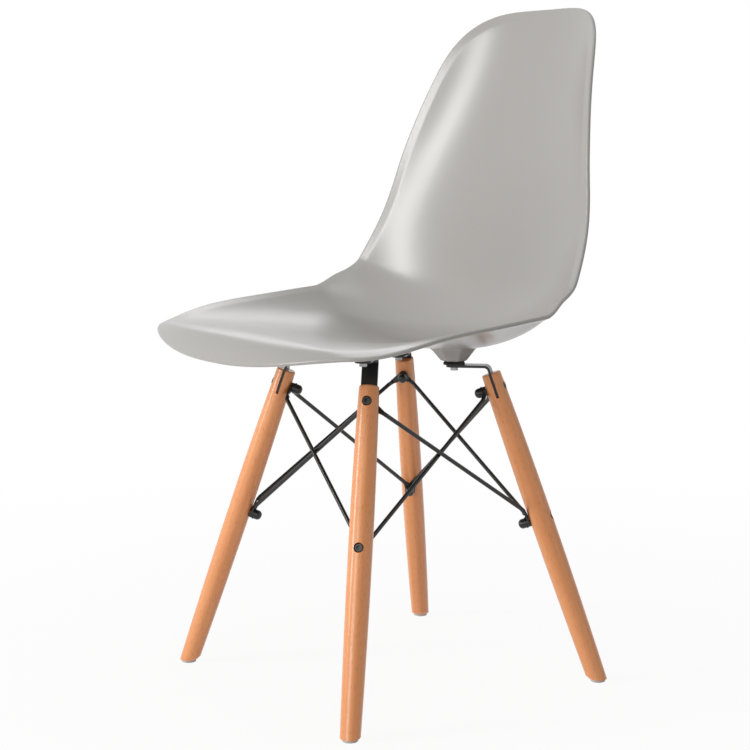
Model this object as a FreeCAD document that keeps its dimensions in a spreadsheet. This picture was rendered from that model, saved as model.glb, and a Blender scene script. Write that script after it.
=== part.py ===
import FreeCAD, Part
import math
import os

import Sketcher
from FreeCAD import Base, Placement, Rotation, Vector

# A moulded plastic shell chair on four splayed beech dowel legs.
# Millimetres, +Z up, the sitter faces -Y, so the sitter's left is +X.
# The origin is on the floor under the middle of the chair.

SIZES = {
    # Stance of the legs, measured from the middle of the base along its diagonals
    "foot_radius": 256.8,
    "leg_top_radius": 125.3,
    "leg_top_height": 375.0,
    # Turned beech leg
    "leg_top_diameter": 23.2,
    "leg_belly_diameter": 27.8,
    "leg_foot_diameter": 23.0,
    "leg_belly_drop": 179.0,
    "leg_top_rounding": 2.0,
    "leg_foot_bevel": 1.2,
    "upper_bolt_drop": 19.0,
    "lower_bolt_drop": 186.0,
    "kerf_depth": 30.5,
    "leg_blank_margin": 1.0,
    # Plastic glide under each leg and the nail that holds it
    "glide_diameter": 18.0,
    "glide_height": 3.5,
    "glide_rounding": 0.8,
    "glide_recess_depth": 2.0,
    "nail_head_diameter": 7.6,
    "nail_head_thickness": 1.0,
    "nail_diameter": 2.4,
    "nail_length": 17.0,
    "nail_clearance": 0.15,
    "nail_tip_gap": 1.0,
    # Steel bracket: one bent strip, its tongue in the kerf of the leg
    "strip_width": 19.0,
    "strip_thickness": 3.0,
    "strip_bend_radius": 5.0,
    "strip_corner_radius": 9.0,
    "strip_end": 9.5,
    "strip_clearance": 0.2,
    "tongue_end_gap": 1.0,
    "rear_arm_reach": 44.3,
    "front_arm_reach": 36.7,
    # Rubber spacer between the bracket arm and the moulded boss
    "spacer_height": 4.7,
    "spacer_rim_diameter": 26.0,
    "spacer_rim_height": 1.8,
    "spacer_top_diameter": 22.5,
    # Hexagon bolt that holds the seat, and the brass insert in the boss
    "seat_bolt_diameter": 5.0,
    "seat_bolt_hole": 5.6,
    "seat_bolt_head_flats": 8.0,
    "seat_bolt_head_height": 4.2,
    "seat_bolt_tip_gap": 1.5,
    "insert_diameter": 9.0,
    "insert_length": 8.0,
    "insert_clearance": 0.1,
    "thread_clearance": 0.1,
    "bolt_tip_chamfer": 0.8,
    # Socket bolts through the legs and their domed nuts
    "leg_bolt_diameter": 6.0,
    "leg_bolt_hole": 6.5,
    "leg_bolt_head_diameter": 10.0,
    "leg_bolt_head_height": 6.0,
    "leg_bolt_head_chamfer": 0.7,
    "leg_bolt_face": 12.0,
    "leg_bolt_socket_flats": 5.0,
    "leg_bolt_socket_depth": 3.2,
    "counterbore_diameter": 11.6,
    "nut_flange_diameter": 13.6,
    "nut_flange_thickness": 1.3,
    "nut_dome_diameter": 12.0,
    "nut_height": 10.2,
    "nut_dome_rounding": 5.2,
    "nut_bore_depth": 7.5,
    "nut_tip_gap": 1.0,
    # Crossed rods with a flattened eye at each end
    "rod_diameter": 5.0,
    "rod_bend_radius": 8.0,
    "rod_cross_gap": 0.3,
    "inner_tab_reach": 14.0,
    "tab_thickness": 2.0,
    "tab_diameter": 12.0,
    "tab_gap": 0.1,
    "tab_seat_gap": 0.3,
    "tab_straight_run": 0.3,
    # Centre line of the seat shell, from the front lip to the top of the back
    "shell_front": 244.1,
    "shell_lift": 30.2,
    "lip_rise_angle": 62.0,
    "lip_radius": 50.0,
    "lip_turn": 69.0,
    "seat_length": 241.0,
    "bend_radius": 100.0,
    "bend_turn": 84.0,
    "lower_back_length": 120.0,
    "sway_radius": 500.0,
    "sway_turn": 4.5,
    "upper_back_length": 185.5,
    # Half widths of the shell along that line, and how far its edges rise
    "half_width_at_front": 244.0,
    "half_width_at_lip": 244.0,
    "half_width_at_thighs": 244.0,
    "half_width_at_mid_seat": 243.3,
    "half_width_at_seat_back": 239.0,
    "half_width_at_hips": 231.0,
    "half_width_at_bend_top": 220.3,
    "half_width_at_waist": 206.5,
    "half_width_at_sway": 181.0,
    "half_width_at_shoulder": 155.0,
    "half_width_at_top": 127.0,
    "edge_rise_at_front": -28.0,
    "edge_rise_at_lip": -10.0,
    "edge_rise_at_thighs": 19.5,
    "edge_rise_at_mid_seat": 37.3,
    "edge_rise_at_seat_back": 55.0,
    "edge_rise_at_hips": 63.5,
    "edge_rise_at_bend_top": 47.6,
    "edge_rise_at_waist": 33.0,
    "edge_rise_at_sway": 33.0,
    "edge_rise_at_shoulder": 32.5,
    "edge_rise_at_top": 22.0,
    # Roundness of the shell's cross-section and of its outline
    "section_power": 2.4,
    "front_corner_depth": 150.0,
    "front_corner_power": 2.25,
    "top_corner_depth": 110.0,
    "top_corner_power": 3.6,
    "shell_wall": 4.0,
    # Eight-sided tapered bosses moulded under the seat
    "front_boss_depth": 10.1,
    "rear_boss_depth": 13.7,
    "boss_bottom_flats": 30.0,
    "boss_side_angle": 38.0,
    "boss_edge_break": 1.2,
}

# Diagonal of each corner, in degrees about +Z
CORNERS = {"rear_left": 45.0, "rear_right": 135.0, "front_right": 225.0, "front_left": 315.0}

# Each side of the base starts at the corner named and ends at the next one
SIDES = {"rear": "rear_left", "right": "rear_right", "front": "front_right", "left": "front_left"}

# Stations along the shell: name, stretch of the centre line and place along it
STATIONS = (
    ("front", "lip", 0.0),
    ("lip", "lip", 1.0),
    ("thighs", "seat", 0.35),
    ("mid_seat", "seat", 0.66),
    ("seat_back", "seat", 1.0),
    ("hips", "bend", 0.5),
    ("bend_top", "bend", 1.0),
    ("waist", "lower_back", 0.52),
    ("sway", "sway", 1.0),
    ("shoulder", "upper_back", 0.475),
    ("top", "upper_back", 1.0),
)

# Two places closer than this are one place
NEAR = 0.01

doc = FreeCAD.newDocument("shell_chair")
sizes = doc.addObject("Spreadsheet::Sheet", "sizes")
places = doc.addObject("Spreadsheet::Sheet", "places")


def fill_sheet(sheet, numbers):
    """Write each number as text in a cell of its own and name the cell."""
    for row, (name, value) in enumerate(numbers.items(), start=1):
        sheet.set(f"A{row}", repr(float(value)))
        sheet.setAlias(f"A{row}", name)
    doc.recompute()


def natural_spline(knots, values):
    """The natural cubic spline through the values at the knots, as a function."""
    last = len(knots) - 1
    gaps = [knots[i + 1] - knots[i] for i in range(last)]
    rises = [(values[i + 1] - values[i]) / gaps[i] for i in range(last)]
    pivots = [1.0] * (last + 1)
    ratios = [0.0] * (last + 1)
    sums = [0.0] * (last + 1)
    for i in range(1, last):
        pivots[i] = 2 * (knots[i + 1] - knots[i - 1]) - gaps[i - 1] * ratios[i - 1]
        ratios[i] = gaps[i] / pivots[i]
        sums[i] = (3 * (rises[i] - rises[i - 1]) - gaps[i - 1] * sums[i - 1]) / pivots[i]
    curve = [0.0] * (last + 1)
    for i in range(last - 1, -1, -1):
        curve[i] = sums[i] - ratios[i] * curve[i + 1]

    def value_at(place):
        i = 0
        while i < last - 1 and place > knots[i + 1]:
            i += 1
        step = place - knots[i]
        slope = rises[i] - gaps[i] * (2 * curve[i] + curve[i + 1]) / 3
        bend = (curve[i + 1] - curve[i]) / (3 * gaps[i])
        return values[i] + step * (slope + step * (curve[i] + step * bend))

    return value_at


class ShellForm:
    """The under and outer face of the seat shell as a formula.

    along runs on the centre line from the front lip to the top of the back,
    across runs from -1 at the sitter's right edge to +1 at the left edge.
    A point is the centre line's point, moved sideways by across times the half width
    and, square to the line, by the edge rise times |across| to the section power.
    """

    def __init__(self):
        self.stretches = {}
        y = -sizes.shell_front
        z = sizes.leg_top_height + sizes.shell_lift
        heading = math.radians(sizes.lip_rise_angle)
        start = 0.0
        for name, length, turn in self.centre_line():
            curvature = math.radians(turn) / length
            self.stretches[name] = (start, length, y, z, heading, curvature)
            y, z, heading = self.run(y, z, heading, curvature, length)
            start += length
        self.length = start
        knots = [self.place(stretch, share) for _, stretch, share in STATIONS]
        names = [name for name, _, _ in STATIONS]
        self.half_width = natural_spline(knots, [getattr(sizes, f"half_width_at_{n}") for n in names])
        self.edge_rise = natural_spline(knots, [getattr(sizes, f"edge_rise_at_{n}") for n in names])

    @staticmethod
    def centre_line():
        """Name, length and turn in degrees of each arc and straight run."""
        return (
            ("lip", sizes.lip_radius * math.radians(sizes.lip_turn), -sizes.lip_turn),
            ("seat", sizes.seat_length, 0.0),
            ("bend", sizes.bend_radius * math.radians(sizes.bend_turn), sizes.bend_turn),
            ("lower_back", sizes.lower_back_length, 0.0),
            ("sway", sizes.sway_radius * math.radians(sizes.sway_turn), -sizes.sway_turn),
            ("upper_back", sizes.upper_back_length, 0.0),
        )

    @staticmethod
    def run(y, z, heading, curvature, length):
        """Where an arc or a straight run that starts at y, z ends up."""
        end = heading + curvature * length
        if curvature:
            y += (math.sin(end) - math.sin(heading)) / curvature
            z -= (math.cos(end) - math.cos(heading)) / curvature
        else:
            y += length * math.cos(heading)
            z += length * math.sin(heading)
        return y, z, end

    def place(self, stretch, share):
        start, length = self.stretches[stretch][:2]
        return start + share * length

    def centre(self, along):
        found = self.stretches["lip"]
        for stretch in self.stretches.values():
            if along >= stretch[0]:
                found = stretch
        start, _, y, z, heading, curvature = found
        return self.run(y, z, heading, curvature, along - start)

    def point(self, along, across):
        y, z, heading = self.centre(along)
        rise = self.edge_rise(along) * abs(across) ** sizes.section_power
        side = self.half_width(along) * across
        return Vector(side, y - math.sin(heading) * rise, z + math.cos(heading) * rise)

    def normal(self, along, across):
        """Unit vector square to the face, towards the sitter."""
        step = 0.05
        lean = step / self.half_width(along)
        lengthways = self.point(along + step, across) - self.point(along - step, across)
        sideways = self.point(along, across + lean) - self.point(along, across - lean)
        return sideways.cross(lengthways).normalize()

    def lifted(self, along, across, lift):
        """The face's point moved towards the sitter by lift."""
        return self.point(along, across) + self.normal(along, across) * lift

    def under(self, x, y):
        """The along and across values of the seat face's point over x, y."""
        along = self.place("seat", 0.5)
        across = x / self.half_width(along)
        for _ in range(40):
            along += y - self.point(along, across).y
            across = x / self.half_width(along)
        return along, across


def leg_radius(drop):
    """Radius of the turned leg at a distance below its top."""
    belly = sizes.leg_belly_diameter / 2
    if drop < sizes.leg_belly_drop:
        reach = sizes.leg_belly_drop - sizes.leg_top_rounding
        fall = belly - sizes.leg_top_diameter / 2
    else:
        reach = places.leg_length - sizes.leg_belly_drop - places.leg_blank_start
        fall = belly - sizes.leg_foot_diameter / 2
    sweep = (reach ** 2 + fall ** 2) / (2 * fall)
    return belly - sweep + math.sqrt(sweep ** 2 - (drop - sizes.leg_belly_drop) ** 2)


def stance_places():
    """Angle and length of the legs and the points where the bolts cross their axes."""
    slope = (sizes.foot_radius - sizes.leg_top_radius) / sizes.leg_top_height
    splay = math.atan(slope)
    found = {
        "splay": math.degrees(splay),
        "leg_length": sizes.leg_top_height / math.cos(splay),
        "leg_blank_start": (sizes.glide_height - sizes.leg_foot_diameter / 2 * math.sin(splay))
        / math.cos(splay) - sizes.leg_blank_margin,
    }
    for level in ("upper", "lower"):
        drop = getattr(sizes, f"{level}_bolt_drop")
        found[f"{level}_bolt_radius"] = sizes.leg_top_radius + drop * math.sin(splay)
        found[f"{level}_bolt_height"] = sizes.leg_top_height - drop * math.cos(splay)
    return found


def fitted_places(form):
    """Levels that follow from the shell's face and from the legs' thickness."""
    found = {}
    slope = math.tan(math.radians(places.splay))
    wide = sizes.strip_thickness / 2 / math.cos(math.radians(places.splay))
    for end, reach, side in (("rear", -sizes.rear_arm_reach, 1), ("front", sizes.front_arm_reach, -1)):
        bolt = sizes.leg_top_radius + reach
        corner = bolt / math.sqrt(2)
        along, across = form.under(corner, side * corner)
        boss = form.point(along, across).z - getattr(sizes, f"{end}_boss_depth")
        arm_top = boss - sizes.spacer_height
        arm_bottom = arm_top - sizes.strip_thickness
        found[f"{end}_seat_bolt_radius"] = bolt
        found[f"{end}_boss_bottom"] = boss
        found[f"{end}_arm_top"] = arm_top
        found[f"{end}_arm_bottom"] = arm_bottom
        found[f"{end}_arm_end"] = bolt + math.copysign(sizes.strip_end, reach)
        facing = math.copysign(wide, reach)
        found[f"{end}_bend_outside"] = axis_radius(arm_top, slope) - facing
        found[f"{end}_bend_inside"] = axis_radius(arm_bottom, slope) + facing
    tongue_depth = sizes.kerf_depth - sizes.tongue_end_gap
    tongue_end = sizes.leg_top_height - tongue_depth * math.cos(math.radians(places.splay))
    found["tongue_end_height"] = tongue_end
    found["tongue_end_outer"] = axis_radius(tongue_end, slope) + wide
    found["tongue_end_inner"] = axis_radius(tongue_end, slope) - wide
    for level in ("upper", "lower"):
        first = leg_radius(getattr(sizes, f"{level}_bolt_drop")) + sizes.tab_seat_gap
        found[f"{level}_outer_tab"] = first
        found[f"{level}_inner_tab"] = first + sizes.tab_thickness + sizes.tab_gap
        found[f"{level}_nut_base"] = first + 2 * (sizes.tab_thickness + sizes.tab_gap)
    return found


def axis_radius(height, slope):
    """How far out the leg's axis is at a height."""
    return sizes.leg_top_radius + (sizes.leg_top_height - height) * slope


def new_body(label, corner):
    """An empty body in the upright radial frame of a corner: X outward, Z up."""
    body = doc.addObject("PartDesign::Body", label)
    body.Label = label
    body.Placement = Placement(Vector(), Rotation(Vector(0, 0, 1), CORNERS[corner]))
    return body


def origin_plane(body, role):
    return [feature for feature in body.Origin.OriginFeatures if feature.Role == role][0]


def radial_sketch(body, name, spot, turn):
    """A sketch in the radial plane, with its origin at spot and turned by turn degrees."""
    sketch = body.newObject("Sketcher::SketchObject", name)
    sketch.AttachmentSupport = [(origin_plane(body, "XZ_Plane"), "")]
    sketch.MapMode = "FlatFace"
    sketch.setExpression(".AttachmentOffset.Base.x", spot[0])
    sketch.setExpression(".AttachmentOffset.Base.y", spot[1])
    sketch.setExpression(".AttachmentOffset.Rotation.Angle", f"({turn}) * 1deg")
    return sketch


def bind_point(sketch, line, end, spot, corner):
    """Tie a point of the sketch, now at spot, to a pair of expressions for its coordinates."""
    ties = (("DistanceX", -2, spot.x, corner[0]), ("DistanceY", -1, spot.y, corner[1]))
    for kind, axis, now, value in ties:
        if value == "0":
            sketch.addConstraint(Sketcher.Constraint("PointOnObject", line, end, axis))
        else:
            index = sketch.addConstraint(Sketcher.Constraint(kind, -1, 1, line, end, now))
            sketch.setExpression(f"Constraints[{index}]", value)


def outline(sketch, corners):
    """A closed outline of straight sides; each corner is a pair of expressions."""
    count = len(corners)
    spread = 10.0
    ring = []
    for index in range(count):
        angle = 2 * math.pi * (index + 0.3) / count
        ring.append(Vector(spread * math.cos(angle), spread * math.sin(angle), 0))
    for index in range(count):
        sketch.addGeometry(Part.LineSegment(ring[index], ring[(index + 1) % count]))
    for index in range(count):
        sketch.addConstraint(Sketcher.Constraint("Coincident", index, 2, (index + 1) % count, 1))
    for index, corner in enumerate(corners):
        bind_point(sketch, index, 1, ring[index], corner)


def turned(body, name, spot, turn, corners):
    """Material turned about the sketch's own X axis."""
    sketch = radial_sketch(body, f"{name}_profile", spot, turn)
    outline(sketch, corners)
    return revolve(body, name, sketch, "PartDesign::Revolution")


def bored(body, name, spot, turn, corners):
    """A round cut about the sketch's own X axis."""
    sketch = radial_sketch(body, f"{name}_profile", spot, turn)
    outline(sketch, corners)
    return revolve(body, name, sketch, "PartDesign::Groove")


def revolve(body, name, sketch, kind):
    feature = body.newObject(kind, name)
    feature.Profile = sketch
    feature.ReferenceAxis = (sketch, ["H_Axis"])
    feature.Angle = 360
    body.Tip = feature
    return feature


def cut_through(body, name, spot, turn, corners):
    """A straight cut right across the body, square to the radial plane."""
    sketch = radial_sketch(body, f"{name}_profile", spot, turn)
    outline(sketch, corners)
    pocket = body.newObject("PartDesign::Pocket", name)
    pocket.Profile = sketch
    pocket.Type = "ThroughAll"
    pocket.SideType = "Symmetric"
    body.Tip = pocket
    return pocket


def ease_edges(body, kind, name, wanted, field, size):
    """A fillet or chamfer on the edges of the tip for which wanted says yes."""
    doc.recompute()
    base = body.Tip
    edges = [f"Edge{i}" for i, edge in enumerate(base.Shape.Edges, start=1) if wanted(edge)]
    feature = body.newObject(kind, name)
    feature.Base = (base, edges)
    feature.setExpression(field, size)
    body.Tip = feature
    return feature


def flat_at(height):
    """A test for edges that lie level at a height."""
    def wanted(edge):
        box = edge.BoundBox
        return abs(box.ZMin - height) < NEAR and abs(box.ZMax - height) < NEAR
    return wanted


def crosses_at(x, z):
    """A test for edges square to the radial plane at a point of it."""
    def wanted(edge):
        middle = edge.CenterOfMass
        box = edge.BoundBox
        return box.YLength > 1 and abs(middle.x - x) < 0.05 and abs(middle.z - z) < 0.05
    return wanted


def hexagon(body, name, kind, spot, turn, flats, height):
    """A hexagonal prism that starts at spot and rises along the axis turned by turn."""
    prism = body.newObject(kind, name)
    prism.AttachmentSupport = [(origin_plane(body, "XY_Plane"), "")]
    prism.MapMode = "FlatFace"
    prism.Polygon = 6
    prism.setExpression("Circumradius", f"{flats} / 2 / cos(30)")
    prism.setExpression("Height", height)
    prism.AttachmentOffset = Placement(Vector(spot[0], 0, spot[1]), Rotation(Vector(0, 1, 0), 90 - turn))
    body.Tip = prism
    return prism


def make_leg(corner):
    """Turned leg, belly below the middle, with its bores, its kerf and a level foot."""
    leg = new_body(f"leg_{corner}", corner)
    foot = ("sizes.foot_radius", "0")
    sketch = radial_sketch(leg, "leg_profile", foot, "90 + places.splay")
    top = places.leg_length
    ease = sizes.leg_top_rounding
    belly = (top - sizes.leg_belly_drop, sizes.leg_belly_diameter / 2)
    corners = (
        (places.leg_blank_start, 0.0),
        (top, 0.0),
        (top, sizes.leg_top_diameter / 2 - ease),
        (top - ease, sizes.leg_top_diameter / 2),
        belly,
        (places.leg_blank_start, sizes.leg_foot_diameter / 2),
    )
    spots = [Vector(x, y, 0) for x, y in corners]
    sketch.addGeometry(Part.LineSegment(spots[0], spots[1]))
    sketch.addGeometry(Part.LineSegment(spots[1], spots[2]))
    turn = ease * math.sqrt(0.5)
    edge_middle = Vector(top - ease + turn, sizes.leg_top_diameter / 2 - ease + turn, 0)
    sketch.addGeometry(Part.Arc(spots[2], edge_middle, spots[3]))
    for start, end in ((spots[3], spots[4]), (spots[4], spots[5])):
        halfway = (start.x + end.x) / 2
        sketch.addGeometry(Part.Arc(start, Vector(halfway, leg_radius(top - halfway), 0), end))
    sketch.addGeometry(Part.LineSegment(spots[5], spots[0]))
    count = len(spots)
    for index in range(count):
        after = (index + 1) % count
        first = nearest_end(sketch.Geometry[index], spots[after])
        second = nearest_end(sketch.Geometry[after], spots[after])
        sketch.addConstraint(Sketcher.Constraint("Coincident", index, first, after, second))
    radius = "sizes.leg_top_diameter / 2"
    bound = (
        ("places.leg_blank_start", "0"),
        ("places.leg_length", "0"),
        ("places.leg_length", f"{radius} - sizes.leg_top_rounding"),
        ("places.leg_length - sizes.leg_top_rounding", radius),
        ("places.leg_length - sizes.leg_belly_drop", "sizes.leg_belly_diameter / 2"),
        ("places.leg_blank_start", "sizes.leg_foot_diameter / 2"),
    )
    for index, pair in enumerate(bound):
        bind_point(sketch, index, nearest_end(sketch.Geometry[index], spots[index]), spots[index], pair)
    edge_radius = sketch.addConstraint(Sketcher.Constraint("Radius", 2, ease))
    sketch.setExpression(f"Constraints[{edge_radius}]", "sizes.leg_top_rounding")
    for arc in (3, 4):
        centre = sketch.addConstraint(Sketcher.Constraint("DistanceX", -1, 1, arc, 3, belly[0]))
        sketch.setExpression(f"Constraints[{centre}]", "places.leg_length - sizes.leg_belly_drop")
    revolve(leg, "turned_leg", sketch, "PartDesign::Revolution")

    margin = "2 * sizes.leg_foot_diameter"
    cut_through(leg, "level_foot", ("sizes.foot_radius", "sizes.glide_height"), "0", (
        (f"-{margin}", "0"),
        (f"-{margin}", f"-{margin}"),
        (margin, f"-{margin}"),
        (margin, "0"),
    ))
    level = "sizes.glide_height"
    foot_edge = "(sizes.leg_foot_diameter / 2 / cos(places.splay) - sizes.leg_foot_bevel)"
    bored(leg, "foot_bevel", foot, "90", (
        (level, foot_edge),
        (f"{level} + sizes.leg_foot_diameter", f"{foot_edge} + sizes.leg_foot_diameter"),
        (level, f"{foot_edge} + sizes.leg_foot_diameter"),
    ))
    half = "(sizes.strip_thickness / 2 + sizes.strip_clearance)"
    cut_through(leg, "kerf", foot, "90 + places.splay", (
        ("places.leg_length - sizes.kerf_depth", f"-{half}"),
        ("places.leg_length + sizes.kerf_depth", f"-{half}"),
        ("places.leg_length + sizes.kerf_depth", half),
        ("places.leg_length - sizes.kerf_depth", half),
    ))
    for level in ("upper", "lower"):
        spot = (f"places.{level}_bolt_radius", f"places.{level}_bolt_height")
        floor_of_head = "sizes.leg_bolt_face - sizes.leg_bolt_head_height"
        bored(leg, f"{level}_bore", spot, "places.splay", (
            ("-sizes.leg_belly_diameter", "0"),
            ("sizes.leg_belly_diameter", "0"),
            ("sizes.leg_belly_diameter", "sizes.counterbore_diameter / 2"),
            (floor_of_head, "sizes.counterbore_diameter / 2"),
            (floor_of_head, "sizes.leg_bolt_hole / 2"),
            ("-sizes.leg_belly_diameter", "sizes.leg_bolt_hole / 2"),
        ))
    nail_bore = "sizes.nail_diameter / 2 + sizes.nail_clearance"
    bored(leg, "nail_bore", foot, "90", (
        ("0", "0"),
        ("sizes.nail_length + sizes.nail_tip_gap", "0"),
        ("sizes.nail_length + sizes.nail_tip_gap", nail_bore),
        ("0", nail_bore),
    ))
    return leg


def nearest_end(curve, spot):
    """1 where the curve starts at the spot, 2 where it ends there."""
    return 1 if curve.StartPoint.distanceToPoint(spot) < curve.EndPoint.distanceToPoint(spot) else 2


def make_glide(corner):
    """Round plastic foot with a recess for the head of its nail."""
    glide = new_body(f"glide_{corner}", corner)
    recess = "sizes.nail_head_diameter / 2 + sizes.nail_clearance"
    bore = "sizes.nail_diameter / 2 + sizes.nail_clearance"
    turned(glide, "disc", ("sizes.foot_radius", "0"), "90", (
        ("0", recess),
        ("0", "sizes.glide_diameter / 2"),
        ("sizes.glide_height", "sizes.glide_diameter / 2"),
        ("sizes.glide_height", bore),
        ("sizes.glide_recess_depth", bore),
        ("sizes.glide_recess_depth", recess),
    ))

    def outer_rim(edge):
        return flat_at(0.0)(edge) and edge.BoundBox.XLength > sizes.glide_diameter - NEAR

    ease_edges(glide, "PartDesign::Fillet", "tread", outer_rim, "Radius", "sizes.glide_rounding")
    return glide


def make_glide_nail(corner):
    """Flat-headed nail driven up through the glide into the leg."""
    nail = new_body(f"glide_nail_{corner}", corner)
    under = "sizes.glide_recess_depth"
    shank = "sizes.nail_diameter / 2"
    turned(nail, "nail", ("sizes.foot_radius", "0"), "90", (
        (f"{under} - sizes.nail_head_thickness", "0"),
        (f"{under} - sizes.nail_head_thickness", "sizes.nail_head_diameter / 2"),
        (under, "sizes.nail_head_diameter / 2"),
        (under, shank),
        ("sizes.nail_length - sizes.nail_diameter", shank),
        ("sizes.nail_length", "0"),
    ))
    return nail


def make_bracket(corner):
    """Bent strip: a tongue in the kerf and an arm under the boss.

    The arms of the rear brackets point inward, those of the front ones outward.
    """
    end = corner.split("_")[0]
    bracket = new_body(f"bracket_{corner}", corner)
    tongue = ["places.tongue_end_outer", "places.tongue_end_inner"]
    if end == "front":
        tongue.reverse()
    sketch = radial_sketch(bracket, "strip_profile", ("0", "0"), "0")
    outline(sketch, (
        (tongue[0], "places.tongue_end_height"),
        (f"places.{end}_bend_outside", f"places.{end}_arm_top"),
        (f"places.{end}_arm_end", f"places.{end}_arm_top"),
        (f"places.{end}_arm_end", f"places.{end}_arm_bottom"),
        (f"places.{end}_bend_inside", f"places.{end}_arm_bottom"),
        (tongue[1], "places.tongue_end_height"),
    ))
    strip = bracket.newObject("PartDesign::Pad", "strip")
    strip.Profile = sketch
    strip.SideType = "Symmetric"
    strip.setExpression("Length", "sizes.strip_width")
    bracket.Tip = strip
    top = getattr(places, f"{end}_arm_top")
    bottom = getattr(places, f"{end}_arm_bottom")
    arm_end = getattr(places, f"{end}_arm_end")
    ease_edges(bracket, "PartDesign::Fillet", "inside_bend",
               crosses_at(getattr(places, f"{end}_bend_inside"), bottom),
               "Radius", "sizes.strip_bend_radius")
    ease_edges(bracket, "PartDesign::Fillet", "outside_bend",
               crosses_at(getattr(places, f"{end}_bend_outside"), top),
               "Radius", "sizes.strip_bend_radius + sizes.strip_thickness")

    def end_corner(edge):
        box = edge.BoundBox
        return abs(box.XMin - arm_end) < NEAR and box.XLength < NEAR and box.YLength < NEAR

    ease_edges(bracket, "PartDesign::Fillet", "rounded_end", end_corner,
               "Radius", "sizes.strip_corner_radius")
    bored(bracket, "seat_bolt_hole", (f"places.{end}_seat_bolt_radius", f"places.{end}_arm_bottom"), "90", (
        ("-sizes.strip_thickness", "0"),
        ("2 * sizes.strip_thickness", "0"),
        ("2 * sizes.strip_thickness", "sizes.seat_bolt_hole / 2"),
        ("-sizes.strip_thickness", "sizes.seat_bolt_hole / 2"),
    ))
    bored(bracket, "leg_bolt_hole", ("places.upper_bolt_radius", "places.upper_bolt_height"),
          "places.splay", (
              ("-sizes.strip_thickness", "0"),
              ("sizes.strip_thickness", "0"),
              ("sizes.strip_thickness", "sizes.leg_bolt_hole / 2"),
              ("-sizes.strip_thickness", "sizes.leg_bolt_hole / 2"),
          ))
    return bracket


def make_spacer(corner):
    """Soft black spacer between the arm and the boss, wider at its foot."""
    end = corner.split("_")[0]
    spacer = new_body(f"rubber_spacer_{corner}", corner)
    turned(spacer, "pad", (f"places.{end}_seat_bolt_radius", f"places.{end}_arm_top"), "90", (
        ("0", "sizes.seat_bolt_hole / 2"),
        ("0", "sizes.spacer_rim_diameter / 2"),
        ("sizes.spacer_rim_height", "sizes.spacer_rim_diameter / 2"),
        ("sizes.spacer_height", "sizes.spacer_top_diameter / 2"),
        ("sizes.spacer_height", "sizes.seat_bolt_hole / 2"),
    ))
    return spacer


def make_seat_bolt(corner):
    """Hexagon bolt up through the arm and the spacer into the insert."""
    end = corner.split("_")[0]
    bolt = new_body(f"seat_bolt_{corner}", corner)
    seat = getattr(places, f"{end}_arm_bottom")
    start = (getattr(places, f"{end}_seat_bolt_radius"), seat - sizes.seat_bolt_head_height)
    hexagon(bolt, "head", "PartDesign::AdditivePrism", start, 90,
            "sizes.seat_bolt_head_flats", "sizes.seat_bolt_head_height")
    shank = "sizes.seat_bolt_diameter / 2"
    length = ("sizes.strip_thickness + sizes.spacer_height + sizes.insert_length"
              " - sizes.seat_bolt_tip_gap")
    turned(bolt, "shank", (f"places.{end}_seat_bolt_radius", f"places.{end}_arm_bottom"), "90", (
        ("-sizes.seat_bolt_head_height / 2", "0"),
        ("-sizes.seat_bolt_head_height / 2", shank),
        (f"{length} - sizes.bolt_tip_chamfer", shank),
        (length, f"{shank} - sizes.bolt_tip_chamfer"),
        (length, "0"),
    ))
    return bolt


def make_insert(corner):
    """Threaded brass sleeve set into the boss from below."""
    end = corner.split("_")[0]
    insert = new_body(f"boss_insert_{corner}", corner)
    bore = "sizes.seat_bolt_diameter / 2 + sizes.thread_clearance"
    turned(insert, "sleeve", (f"places.{end}_seat_bolt_radius", f"places.{end}_boss_bottom"), "90", (
        ("0", bore),
        ("0", "sizes.insert_diameter / 2"),
        ("sizes.insert_length", "sizes.insert_diameter / 2"),
        ("sizes.insert_length", bore),
    ))
    return insert


def make_leg_bolt(corner, level):
    """Socket bolt through the leg, its head sunk in the outer side."""
    bolt = new_body(f"leg_bolt_{level}_{corner}", corner)
    spot = (f"places.{level}_bolt_radius", f"places.{level}_bolt_height")
    face = "sizes.leg_bolt_face"
    head = "sizes.leg_bolt_head_diameter / 2"
    shank = "sizes.leg_bolt_diameter / 2"
    tip = f"(places.{level}_nut_base + sizes.nut_bore_depth - sizes.nut_tip_gap)"
    turned(bolt, "bolt", spot, "places.splay", (
        (face, "0"),
        (face, f"{head} - sizes.leg_bolt_head_chamfer"),
        (f"{face} - sizes.leg_bolt_head_chamfer", head),
        (f"{face} - sizes.leg_bolt_head_height", head),
        (f"{face} - sizes.leg_bolt_head_height", shank),
        (f"sizes.bolt_tip_chamfer - {tip}", shank),
        (f"-{tip}", f"{shank} - sizes.bolt_tip_chamfer"),
        (f"-{tip}", "0"),
    ))
    splay = math.radians(places.splay)
    depth = sizes.leg_bolt_face - sizes.leg_bolt_socket_depth
    start = (
        getattr(places, f"{level}_bolt_radius") + depth * math.cos(splay),
        getattr(places, f"{level}_bolt_height") + depth * math.sin(splay),
    )
    hexagon(bolt, "socket", "PartDesign::SubtractivePrism", start, places.splay,
            "sizes.leg_bolt_socket_flats", "2 * sizes.leg_bolt_socket_depth")
    return bolt


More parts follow.
